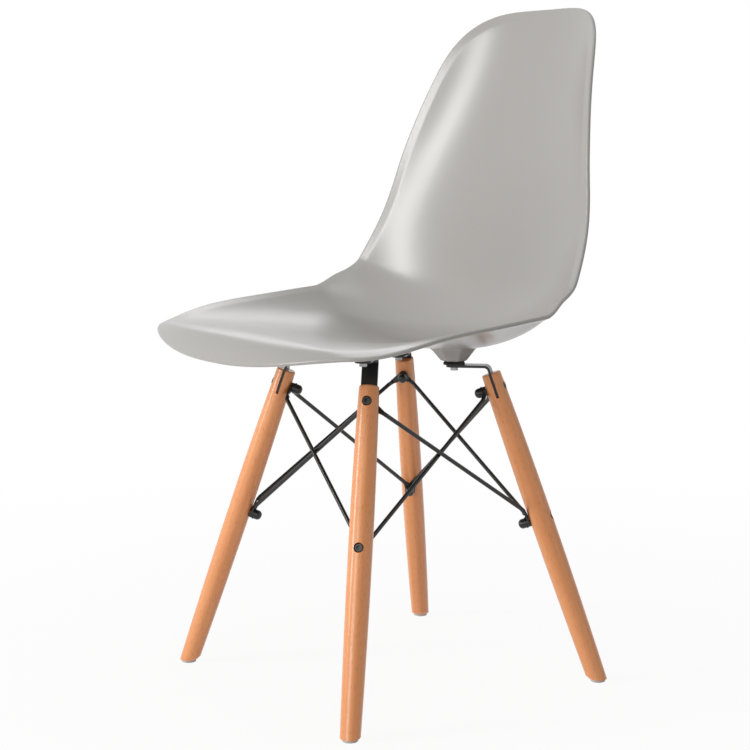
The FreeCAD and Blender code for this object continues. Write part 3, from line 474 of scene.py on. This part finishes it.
def rgba(colour, share=1.0):
    """A colour times share, with full opacity."""
    return (*(c * share for c in colour), 1.0)


def new_material(name):
    """A material without nodes; returns it and its tree."""
    material = bpy.data.materials.new(name)
    material.use_nodes = True
    material.node_tree.nodes.clear()
    return material, material.node_tree


def add_node(tree, kind, inputs=None, **settings):
    """A node with its settings, and its inputs linked to sockets or set to values."""
    node = tree.nodes.new(kind)
    for key, value in settings.items():
        setattr(node, key, value)
    for key, value in (inputs or {}).items():
        if isinstance(value, bpy.types.NodeSocket):
            tree.links.new(value, node.inputs[key])
        else:
            node.inputs[key].default_value = value
    return node


def dress(node, material):
    """A CAD node gets the material on all its slots."""
    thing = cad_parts[node]
    thing.data.materials.clear()
    thing.data.materials.append(material)


def shell_plastic(sizes):
    """Polypropylene moulded in a finely eroded mould: a smooth satin skin that draws a highlight
    with soft edges, a very fine grain, and a pigment that is even but for a faint drift."""
    name = "moulded_polypropylene_satin"
    if name in bpy.data.materials:
        return bpy.data.materials[name]
    drift_length = 140 * MM
    # The mould's grain is about 0.1 mm; it is drawn 0.9 mm so that it shows
    grain_length = 0.9 * MM
    material, tree = new_material(name)
    place = add_node(tree, "ShaderNodeTexCoord").outputs["Object"]
    drift = add_node(tree, "ShaderNodeTexNoise", {
        "Vector": place, "Scale": 1 / drift_length, "Detail": 2.0,
    })
    colour = add_node(tree, "ShaderNodeMix", {
        "Factor": drift.outputs["Fac"],
        MIX_FIRST: rgba(sizes.colour, 0.955), MIX_SECOND: rgba(sizes.colour),
    }, data_type="RGBA")
    grain = add_node(tree, "ShaderNodeTexNoise", {
        "Vector": place, "Scale": 1 / grain_length, "Detail": 2.0,
    })
    bump = add_node(tree, "ShaderNodeBump", {
        "Height": grain.outputs["Fac"], "Strength": 0.10, "Distance": 0.12 * MM,
    })
    roughness = add_node(tree, "ShaderNodeMapRange", {
        "Value": drift.outputs["Fac"], "To Min": 0.23, "To Max": 0.28,
    })
    shader = add_node(tree, "ShaderNodeBsdfPrincipled", {
        "Base Color": colour.outputs[MIX_RESULT], "Roughness": roughness.outputs["Result"],
        "Normal": bump.outputs["Normal"], "IOR": 1.49,
    })
    add_node(tree, "ShaderNodeOutputMaterial", {"Surface": shader.outputs["BSDF"]})
    return material


def grain_place(corner):
    """Turn and shift that put a pattern's Z along a leg, with a stretch of grain of the leg's own."""
    index = list(CORNERS).index(corner)
    bearing = math.radians(CORNERS[corner])
    splay = math.radians(LEG_SPLAY)
    out = Vector((math.cos(bearing), math.sin(bearing), 0))
    axis = Vector((-out.x * math.sin(splay), -out.y * math.sin(splay), math.cos(splay)))
    side = Vector((-out.y, out.x, 0))
    turn = Matrix((side, axis.cross(side), axis)).to_euler()
    own = Vector([step * index for step in GRAIN_STEP])
    return turn, own - turn.to_matrix() @ (LEG_FOOT * out)


def lacquered_beech(wood, corner):
    """Steamed beech, turned and clear lacquered: straight pale bands of growth, short dark ray
    flecks along the grain, and a thin satin coat over them."""
    # A wave texture repeats every 2 pi / 20 of its unit, so these bands are 11 mm from dark to dark
    band_unit = 34 * MM
    streak_width = 2.2 * MM
    cloud_length = 60 * MM
    # A ray fleck is about 0.3 by 2 mm on the wood; it is drawn 0.9 by 7 mm so that it shows
    fleck_width = 0.9 * MM
    # Bands and streaks are about 33 times longer along the leg than across it, and flecks 8 times
    along_bands, along_flecks = 0.03, 0.13
    material, tree = new_material(f"lacquered_beech_{corner}")
    turn, shift = grain_place(corner)
    source = add_node(tree, "ShaderNodeTexCoord").outputs["Object"]
    place = add_node(tree, "ShaderNodeMapping", {
        "Vector": source, "Location": shift, "Rotation": turn,
    }).outputs["Vector"]
    stretched = add_node(tree, "ShaderNodeMapping", {
        "Vector": place, "Scale": (1.0, 1.0, along_bands),
    }).outputs["Vector"]
    bands = add_node(tree, "ShaderNodeTexWave", {
        "Vector": stretched, "Scale": 1 / band_unit, "Distortion": 3.0, "Detail": 2.0, "Detail Scale": 1.4,
    }, bands_direction="X")
    streaks = add_node(tree, "ShaderNodeTexNoise", {
        "Vector": stretched, "Scale": 1 / streak_width, "Detail": 3.0,
    })
    cloud = add_node(tree, "ShaderNodeTexNoise", {
        "Vector": place, "Scale": 1 / cloud_length, "Detail": 1.0,
    })
    # The tone of the growth is each pattern times its share, added up
    blend = 0.0
    for pattern, share in ((bands, 0.35), (streaks, 0.55), (cloud, 0.25)):
        blend = add_node(tree, "ShaderNodeMath", {0: pattern.outputs["Fac"], 1: share, 2: blend},
                         operation="MULTIPLY_ADD", use_clamp=True).outputs[0]
    growth = add_node(tree, "ShaderNodeMix", {
        "Factor": blend, MIX_FIRST: rgba(wood.light), MIX_SECOND: rgba(wood.dark),
    }, data_type="RGBA")
    rays = add_node(tree, "ShaderNodeMapping", {
        "Vector": place, "Scale": (1.0, 1.0, along_flecks),
    }).outputs["Vector"]
    fleck = add_node(tree, "ShaderNodeTexNoise", {"Vector": rays, "Scale": 1 / fleck_width, "Detail": 1.0})
    fleck = add_node(tree, "ShaderNodeMapRange", {
        "Value": fleck.outputs["Fac"], "From Min": 0.60, "From Max": 0.74, "To Max": 0.55,
    })
    colour = add_node(tree, "ShaderNodeMix", {
        "Factor": fleck.outputs["Result"],
        MIX_FIRST: growth.outputs[MIX_RESULT], MIX_SECOND: rgba(wood.fleck),
    }, data_type="RGBA")
    bump = add_node(tree, "ShaderNodeBump", {
        "Height": streaks.outputs["Fac"], "Strength": 0.12, "Distance": 0.1 * MM,
    })
    shader = add_node(tree, "ShaderNodeBsdfPrincipled", {
        "Base Color": colour.outputs[MIX_RESULT], "Roughness": 0.42, "Normal": bump.outputs["Normal"],
        "IOR": 1.5, "Coat Weight": 0.5, "Coat Roughness": 0.17, "Coat IOR": 1.5,
    })
    add_node(tree, "ShaderNodeOutputMaterial", {"Surface": shader.outputs["BSDF"]})
    return material


def black_powder_coat(colours):
    """Black powder coat on steel: near black, satin, with a faint orange peel and a little wear."""
    name = "black_powder_coated_steel"
    if name in bpy.data.materials:
        return bpy.data.materials[name]
    peel_length, wear_length = 0.8 * MM, 9 * MM
    material, tree = new_material(name)
    place = add_node(tree, "ShaderNodeTexCoord").outputs["Object"]
    peel = add_node(tree, "ShaderNodeTexNoise", {"Vector": place, "Scale": 1 / peel_length, "Detail": 2.0})
    wear = add_node(tree, "ShaderNodeTexNoise", {"Vector": place, "Scale": 1 / wear_length, "Detail": 3.0})
    colour = add_node(tree, "ShaderNodeMix", {
        "Factor": wear.outputs["Fac"],
        MIX_FIRST: rgba(colours.black), MIX_SECOND: rgba(colours.black, 1.7),
    }, data_type="RGBA")
    bump = add_node(tree, "ShaderNodeBump", {
        "Height": peel.outputs["Fac"], "Strength": 0.03, "Distance": 0.1 * MM,
    })
    roughness = add_node(tree, "ShaderNodeMapRange", {
        "Value": wear.outputs["Fac"], "To Min": 0.24, "To Max": 0.36,
    })
    shader = add_node(tree, "ShaderNodeBsdfPrincipled", {
        "Base Color": colour.outputs[MIX_RESULT], "Roughness": roughness.outputs["Result"],
        "Normal": bump.outputs["Normal"], "IOR": 1.5,
    })
    add_node(tree, "ShaderNodeOutputMaterial", {"Surface": shader.outputs["BSDF"]})
    return material


def burnished_steel(colours):
    """Hardened steel blackened in oil: dark metal with a soft sheen, brighter where it is rubbed."""
    rub_length = 2 * MM
    material, tree = new_material("oil_blackened_steel")
    place = add_node(tree, "ShaderNodeTexCoord").outputs["Object"]
    rubbed = add_node(tree, "ShaderNodeTexNoise", {"Vector": place, "Scale": 1 / rub_length, "Detail": 3.0})
    colour = add_node(tree, "ShaderNodeMix", {
        "Factor": rubbed.outputs["Fac"],
        MIX_FIRST: rgba(colours.burnished, 0.7), MIX_SECOND: rgba(colours.burnished),
    }, data_type="RGBA")
    roughness = add_node(tree, "ShaderNodeMapRange", {
        "Value": rubbed.outputs["Fac"], "To Min": 0.24, "To Max": 0.38,
    })
    shader = add_node(tree, "ShaderNodeBsdfPrincipled", {
        "Base Color": colour.outputs[MIX_RESULT], "Roughness": roughness.outputs["Result"],
        "Metallic": 0.85,
    })
    add_node(tree, "ShaderNodeOutputMaterial", {"Surface": shader.outputs["BSDF"]})
    return material


def zinc_plated_steel(colours):
    """Zinc plating: grey metal with a cloudy, slightly rough sheen."""
    name = "zinc_plated_steel"
    if name in bpy.data.materials:
        return bpy.data.materials[name]
    cloud_length = 2.5 * MM
    material, tree = new_material(name)
    place = add_node(tree, "ShaderNodeTexCoord").outputs["Object"]
    cloud = add_node(tree, "ShaderNodeTexNoise", {
        "Vector": place, "Scale": 1 / cloud_length, "Detail": 3.0,
    })
    colour = add_node(tree, "ShaderNodeMix", {
        "Factor": cloud.outputs["Fac"],
        MIX_FIRST: rgba(colours.zinc, 0.75), MIX_SECOND: rgba(colours.zinc),
    }, data_type="RGBA")
    roughness = add_node(tree, "ShaderNodeMapRange", {
        "Value": cloud.outputs["Fac"], "To Min": 0.26, "To Max": 0.42,
    })
    shader = add_node(tree, "ShaderNodeBsdfPrincipled", {
        "Base Color": colour.outputs[MIX_RESULT], "Roughness": roughness.outputs["Result"],
        "Metallic": 1.0,
    })
    add_node(tree, "ShaderNodeOutputMaterial", {"Surface": shader.outputs["BSDF"]})
    return material


def moulded_rubber(colours):
    """Black moulded rubber: matt, with a dusty grain."""
    dust_length = 1.5 * MM
    material, tree = new_material("moulded_rubber")
    place = add_node(tree, "ShaderNodeTexCoord").outputs["Object"]
    dust = add_node(tree, "ShaderNodeTexNoise", {"Vector": place, "Scale": 1 / dust_length, "Detail": 3.0})
    colour = add_node(tree, "ShaderNodeMix", {
        "Factor": dust.outputs["Fac"],
        MIX_FIRST: rgba(colours.rubber), MIX_SECOND: rgba(colours.rubber, 2.2),
    }, data_type="RGBA")
    bump = add_node(tree, "ShaderNodeBump", {
        "Height": dust.outputs["Fac"], "Strength": 0.2, "Distance": 0.1 * MM,
    })
    shader = add_node(tree, "ShaderNodeBsdfPrincipled", {
        "Base Color": colour.outputs[MIX_RESULT], "Roughness": 0.72, "Normal": bump.outputs["Normal"],
        "IOR": 1.52,
    })
    add_node(tree, "ShaderNodeOutputMaterial", {"Surface": shader.outputs["BSDF"]})
    return material


def turned_brass(colours):
    """Turned brass: yellow metal with fine tool rings."""
    # A wave texture repeats every 2 pi / 20 of its unit, so these rings are 0.6 mm apart
    ring_unit = 2 * MM
    material, tree = new_material("turned_brass")
    place = add_node(tree, "ShaderNodeTexCoord").outputs["Object"]
    rings = add_node(tree, "ShaderNodeTexWave", {
        "Vector": place, "Scale": 1 / ring_unit,
    }, bands_direction="Z")
    colour = add_node(tree, "ShaderNodeMix", {
        "Factor": rings.outputs["Fac"],
        MIX_FIRST: rgba(colours.brass, 0.85), MIX_SECOND: rgba(colours.brass),
    }, data_type="RGBA")
    shader = add_node(tree, "ShaderNodeBsdfPrincipled", {
        "Base Color": colour.outputs[MIX_RESULT], "Roughness": 0.3, "Metallic": 1.0,
    })
    add_node(tree, "ShaderNodeOutputMaterial", {"Surface": shader.outputs["BSDF"]})
    return material


def moulded_nylon(colours):
    """Moulded nylon glide: milky pale plastic with a soft gloss, scuffed in patches."""
    scuff_length, light_depth = 3 * MM, 2 * MM
    material, tree = new_material("moulded_nylon")
    place = add_node(tree, "ShaderNodeTexCoord").outputs["Object"]
    scuff = add_node(tree, "ShaderNodeTexNoise", {
        "Vector": place, "Scale": 1 / scuff_length, "Detail": 4.0,
    })
    colour = add_node(tree, "ShaderNodeMix", {
        "Factor": scuff.outputs["Fac"],
        MIX_FIRST: rgba(colours.glide, 0.86), MIX_SECOND: rgba(colours.glide),
    }, data_type="RGBA")
    roughness = add_node(tree, "ShaderNodeMapRange", {
        "Value": scuff.outputs["Fac"], "To Min": 0.38, "To Max": 0.55,
    })
    shader = add_node(tree, "ShaderNodeBsdfPrincipled", {
        "Base Color": colour.outputs[MIX_RESULT], "Roughness": roughness.outputs["Result"], "IOR": 1.53,
        "Subsurface Weight": 0.1, "Subsurface Radius": (light_depth, light_depth, light_depth),
    })
    add_node(tree, "ShaderNodeOutputMaterial", {"Surface": shader.outputs["BSDF"]})
    return material


def seen_directly(tree):
    """1 for camera, glossy and transmission rays, and 0 for the rest."""
    ray = add_node(tree, "ShaderNodeLightPath").outputs
    some = add_node(tree, "ShaderNodeMath", {0: ray["Is Camera Ray"], 1: ray["Is Glossy Ray"]},
                    operation="MAXIMUM")
    return add_node(tree, "ShaderNodeMath", {0: some.outputs[0], 1: ray["Is Transmission Ray"]},
                    operation="MAXIMUM").outputs[0]


def studio_floor(studio):
    """Matt painted studio floor: white to the eye but for a soft shadow under the chair."""
    # The shadow is fullest nearer to the middle than the first length and gone past the second, in metres
    shadow_full, shadow_gone = 0.35, 1.3
    # Share of white over the floor's own shading where the shadow is fullest
    least_white = 0.93
    material, tree = new_material("matt_studio_floor")
    paint = add_node(tree, "ShaderNodeBsdfPrincipled", {
        "Base Color": rgba(studio.floor), "Roughness": 0.9, "Specular IOR Level": 0.1,
    })
    place = add_node(tree, "ShaderNodeTexCoord").outputs["Object"]
    away = add_node(tree, "ShaderNodeVectorMath", {0: place}, operation="LENGTH").outputs["Value"]
    fade = add_node(tree, "ShaderNodeMapRange", {
        "Value": away, "From Min": shadow_full, "From Max": shadow_gone,
        "To Min": least_white, "To Max": 1.0,
    }).outputs["Result"]
    share = add_node(tree, "ShaderNodeMath", {0: fade, 1: seen_directly(tree)}, operation="MULTIPLY")
    white = add_node(tree, "ShaderNodeEmission", {"Color": WHITE, "Strength": 1.0})
    mix = add_node(tree, "ShaderNodeMixShader", {
        0: share.outputs[0], 1: paint.outputs[0], 2: white.outputs[0],
    })
    add_node(tree, "ShaderNodeOutputMaterial", {"Surface": mix.outputs[0]})
    return material


# Operators


class CHAIR_OT_stage(bpy.types.Operator):
    """Pale floor, soft studio light and the camera"""
    bl_idname = "chair.stage"
    bl_label = "Studio"

    def execute(self, context):
        scene = context.scene
        studio = scene.chair.stage
        scene.view_settings.view_transform = "Standard"
        self.floor(studio)
        scene.world = self.air(studio)
        for name, place, size, power in LAMPS:
            scene.collection.objects.link(self.lamp(name, place, size, getattr(studio, power)))
        camera = self.camera()
        scene.collection.objects.link(camera)
        scene.camera = camera
        return {"FINISHED"}

    @staticmethod
    def floor(studio):
        """A flat square grid of points at z = 0."""
        line = np.linspace(-FLOOR_REACH, FLOOR_REACH, FLOOR_POINTS)
        x, y = np.meshgrid(line, line, indexing="ij")
        points = np.stack([x, y, np.zeros_like(x)], axis=-1).reshape(-1, 3)
        floor = new_piece("studio_floor", points, grid_faces(FLOOR_POINTS, FLOOR_POINTS), None)
        floor.data.materials.append(studio_floor(studio))

    @staticmethod
    def air(studio):
        """White to what the camera, gloss and glass see, and a plain even light to the rest."""
        world = bpy.data.worlds.new("studio_air")
        world.use_nodes = True
        tree = world.node_tree
        tree.nodes.clear()
        plain = add_node(tree, "ShaderNodeBackground", {"Color": WHITE, "Strength": studio.ambient})
        white = add_node(tree, "ShaderNodeBackground", {"Color": WHITE, "Strength": 1.0})
        mix = add_node(tree, "ShaderNodeMixShader", {
            0: seen_directly(tree), 1: plain.outputs[0], 2: white.outputs[0],
        })
        add_node(tree, "ShaderNodeOutputWorld", {"Surface": mix.outputs[0]})
        return world

    @staticmethod
    def lamp(name, place, size, power):
        """A softbox that faces the chair."""
        light = bpy.data.lights.new(name, "AREA")
        light.shape = "RECTANGLE"
        light.size, light.size_y = size
        light.energy = power
        lamp = bpy.data.objects.new(name, light)
        lamp.location = place
        lamp.rotation_euler = (AIM - Vector(place)).to_track_quat("-Z", "Y").to_euler()
        return lamp

    @staticmethod
    def camera():
        """The photograph's camera: yaw and pitch turn its view, and roll turns its frame."""
        yaw, pitch, roll = (math.radians(angle) for angle in (CAMERA_YAW, CAMERA_PITCH, CAMERA_ROLL))
        ahead = Vector((math.cos(yaw) * math.cos(pitch), math.sin(yaw) * math.cos(pitch), math.sin(pitch)))
        right = ahead.cross(Vector((0, 0, 1))).normalized()
        up = right.cross(ahead)
        right, up = (math.cos(roll) * right + math.sin(roll) * up,
                     math.cos(roll) * up - math.sin(roll) * right)
        lens = bpy.data.cameras.new("photo_camera")
        lens.sensor_fit = "HORIZONTAL"
        lens.sensor_width = CAMERA_SENSOR
        lens.lens = CAMERA_LENS
        lens.clip_end = CAMERA_SIGHT
        camera = bpy.data.objects.new("photo_camera", lens)
        turn = Matrix((right, up, -ahead)).transposed().to_4x4()
        camera.matrix_world = Matrix.Translation(CAMERA_PLACE) @ turn
        return camera


class CHAIR_OT_seat_shell(bpy.types.Operator):
    """One-piece seat and back with its turned-out band, rounded rim and thicker edge"""
    bl_idname = "chair.seat_shell"
    bl_label = "Seat shell"

    def execute(self, context):
        sizes = context.scene.chair.shell
        points, faces = self.skin(sizes)
        points, faces = welded(points * MM, faces)
        piece = new_piece("seat_shell_moulded", points, faces, "root", ("seat_shell",))
        outward(piece)
        piece.data.materials.append(shell_plastic(sizes))
        return {"FINISHED"}

    @staticmethod
    def skin(sizes):
        """The whole skin as one grid: a row for each point of the outline, and columns from the
        spine down the outer face, round the rim and back along the inner face to the spine.

        A column lies at a depth in from the rim, measured along its ray to the spine. A point is the
        form's point there, moved along the normal by the crease. The outer face is moved out as well,
        by a bell curve of the depth that makes the rim thicker. The inner face is moved in by the
        wall, and the rim's columns lie between the two by their lift.
        """
        spots = shell_outline()
        spine = np.stack([np.clip(spots[:, 0], FRONT_CORNER[0], FORM.length - TOP_CORNER[0]),
                          np.zeros(len(spots))], axis=-1)
        shares = np.linspace(1.0, 0.0, RAY_SAMPLES)
        rays = spine[:, None] + (spots - spine)[:, None] * shares[None, :, None]
        runs = running_length(FORM.point(rays[..., 0], rays[..., 1]))
        width = band_width(sizes, spots[:, :1])
        depth, lift = skin_columns(sizes, width, runs[:, -1:])
        share = np.array([np.interp(row, run, shares) for row, run in zip(depth, runs)])
        at = spine[:, None] + (spots - spine)[:, None] * share[..., None]
        base = FORM.point(at[..., 0], at[..., 1])
        square = FORM.normal(at[..., 0], at[..., 1])
        wall, rim_wall = sizes.wall / MM, sizes.rim_wall / MM
        thicker = (rim_wall - wall) * np.exp(-(depth / THINS_OVER) ** 2)
        away = band_crease(sizes, depth, width) - thicker + (wall + thicker) * lift
        points = base + square * away[..., None]
        return points.reshape(-1, 3), grid_faces(*depth.shape, closed=True)


class CHAIR_OT_bosses(bpy.types.Operator):
    """Eight-sided tapered bosses under the seat, filleted into the shell and bored for the inserts"""
    bl_idname = "chair.bosses"
    bl_label = "Bosses"

    def execute(self, context):
        sizes = context.scene.chair.shell
        material = shell_plastic(sizes)
        for corner in CORNERS:
            low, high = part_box(f"rubber_spacer_{corner}")
            middle = (np.array(low) + np.array(high)) / 2 / MM
            points, faces = self.taper(sizes, middle[0], middle[1], high.z / MM)
            points, faces = welded(points * MM, faces)
            piece = new_piece(f"seat_boss_{corner}", points, faces, "root")
            outward(piece)
            piece.data.materials.append(material)
        return {"FINISHED"}

    @staticmethod
    def taper(sizes, x, y, bottom):
        """Rings round the boss: up the bore, over the flat bottom, round its edge, up the sloping
        sides, through a fillet to the shell's face and back inside the wall.

        Round the boss the radius is the flats' half width times the octagon: the eight facets'
        cosines, each to the sharpness, are added up, and the sum is taken to -1 over the sharpness.
        """
        angle = np.linspace(0.0, 2 * math.pi, BOSS_POINTS, endpoint=False)
        facets = np.arange(BOSS_SIDES) * (2 * math.pi / BOSS_SIDES)
        facing = np.clip(np.cos(angle[:, None] - facets[None]), 0.0, None) ** BOSS_SHARPNESS
        octagon = facing.sum(axis=1) ** (-1 / BOSS_SHARPNESS)
        slope = math.tan(math.radians(BOSS_SLOPE))
        half = sizes.boss_flats / MM / 2
        fillet = sizes.boss_fillet / MM

        def ring(radius, z):
            """A ring of points; radius and z are single numbers or one for each bearing."""
            return np.stack([x + radius * np.cos(angle), y + radius * np.sin(angle),
                             np.broadcast_to(z, angle.shape)], axis=-1)

        def side(level):
            """A ring on the sloping sides, at a level above the bottom."""
            return ring(octagon * (half + slope * level), bottom + level)

        def shell_over(radius):
            """Height of the shell's face over a ring of that radius."""
            return FORM.height(x + radius * np.cos(angle), y + radius * np.sin(angle))

        bore, ease = BOSS_BORE_RADIUS, BOSS_EASE
        bore_top = bottom + BOSS_BORE_DEPTH
        rings = [ring(0.0, bore_top), ring(bore, bore_top), ring(bore, bottom)]
        for share in (0.35, 0.7, 1.0):
            rings.append(ring((bore + (half - ease - bore) * share) * (1 + (octagon - 1) * share), bottom))
        for turn in np.radians((22.5, 45.0, 62.0)):
            rings.append(ring((half - ease + ease * math.sin(turn)) * octagon,
                              bottom + ease * (1 - math.cos(turn))))
        reach = RISE_START
        for _ in range(RISE_ROUNDS):
            reach = np.clip(shell_over(octagon * (half + slope * reach)) - bottom, RISE_LEAST, RISE_MOST)
        first, last = ease * SIDES_BEGIN, reach - fillet
        for share in (0.0, 0.33, 0.66, 1.0):
            rings.append(side(first + (last - first) * share))
        away = octagon * (half + slope * reach) + fillet
        landing = ring(away, shell_over(away) + FILLET_SINK)
        for share in (0.25, 0.5, 0.75, 1.0):
            rest = 1 - share
            rings.append(rest ** 2 * side(last) + 2 * share * rest * side(reach) + share * share * landing)
        for share in (1.0, 0.66, 0.33, 0.0):
            rings.append(ring(away * share, shell_over(away * share) + TOP_SINK))
        grid = np.stack(rings, axis=1)
        return grid.reshape(-1, 3), grid_faces(BOSS_POINTS, len(rings), closed=True)


class CHAIR_OT_legs(bpy.types.Operator):
    """Lacquered beech on the four turned legs, its grain along each leg"""
    bl_idname = "chair.legs"
    bl_label = "Legs"

    def execute(self, context):
        for corner in CORNERS:
            dress(f"leg_{corner}", lacquered_beech(context.scene.chair.wood, corner))
        return {"FINISHED"}


class CHAIR_OT_brackets(bpy.types.Operator):
    """Black steel brackets with their rubber spacers, seat bolts and inserts"""
    bl_idname = "chair.brackets"
    bl_label = "Brackets"

    def execute(self, context):
        colours = context.scene.chair.metal
        black, zinc = black_powder_coat(colours), zinc_plated_steel(colours)
        rubber, brass = moulded_rubber(colours), turned_brass(colours)
        for corner in CORNERS:
            dress(f"bracket_{corner}", black)
            dress(f"rubber_spacer_{corner}", rubber)
            dress(f"seat_bolt_{corner}", zinc)
            dress(f"boss_insert_{corner}", brass)
        return {"FINISHED"}


class CHAIR_OT_rods(bpy.types.Operator):
    """Crossed black rods between the legs, with their bolts and domed nuts"""
    bl_idname = "chair.rods"
    bl_label = "Rods, bolts and nuts"

    def execute(self, context):
        colours = context.scene.chair.metal
        black, burnished = black_powder_coat(colours), burnished_steel(colours)
        for side in SIDES:
            for layer in ("outer", "inner"):
                dress(f"cross_rod_{side}_{layer}", black)
        for corner in CORNERS:
            for level in ("upper", "lower"):
                dress(f"leg_bolt_{level}_{corner}", burnished)
                dress(f"dome_nut_{level}_{corner}", black)
        return {"FINISHED"}


class CHAIR_OT_glides(bpy.types.Operator):
    """Pale plastic glides and their nails"""
    bl_idname = "chair.glides"
    bl_label = "Glides"

    def execute(self, context):
        colours = context.scene.chair.metal
        nylon, zinc = moulded_nylon(colours), zinc_plated_steel(colours)
        for corner in CORNERS:
            dress(f"glide_{corner}", nylon)
            dress(f"glide_nail_{corner}", zinc)
        return {"FINISHED"}


# Panel and registration


STEPS = (
    CHAIR_OT_stage,
    CHAIR_OT_seat_shell,
    CHAIR_OT_bosses,
    CHAIR_OT_legs,
    CHAIR_OT_brackets,
    CHAIR_OT_rods,
    CHAIR_OT_glides,
)


class CHAIR_PT_panel(bpy.types.Panel):
    """Lists the steps that dress the chair"""
    bl_idname = "CHAIR_PT_panel"
    bl_label = "Shell chair"
    bl_space_type = "VIEW_3D"
    bl_region_type = "UI"
    bl_category = "Chair"

    def draw(self, context):
        for step in STEPS:
            self.layout.operator(step.bl_idname)


CLASSES = (ShellSettings, WoodSettings, MetalSettings, StageSettings, ChairSettings, *STEPS, CHAIR_PT_panel)


def register():
    for kind in CLASSES:
        bpy.utils.register_class(kind)
    bpy.types.Scene.chair = PointerProperty(type=ChairSettings)


def unregister():
    del bpy.types.Scene.chair
    for kind in reversed(CLASSES):
        bpy.utils.unregister_class(kind)


def main():
    register()
    for step in STEPS:
        group, name = step.bl_idname.split(".")
        getattr(getattr(bpy.ops, group), name)()


if __name__ == "__main__":
    main()
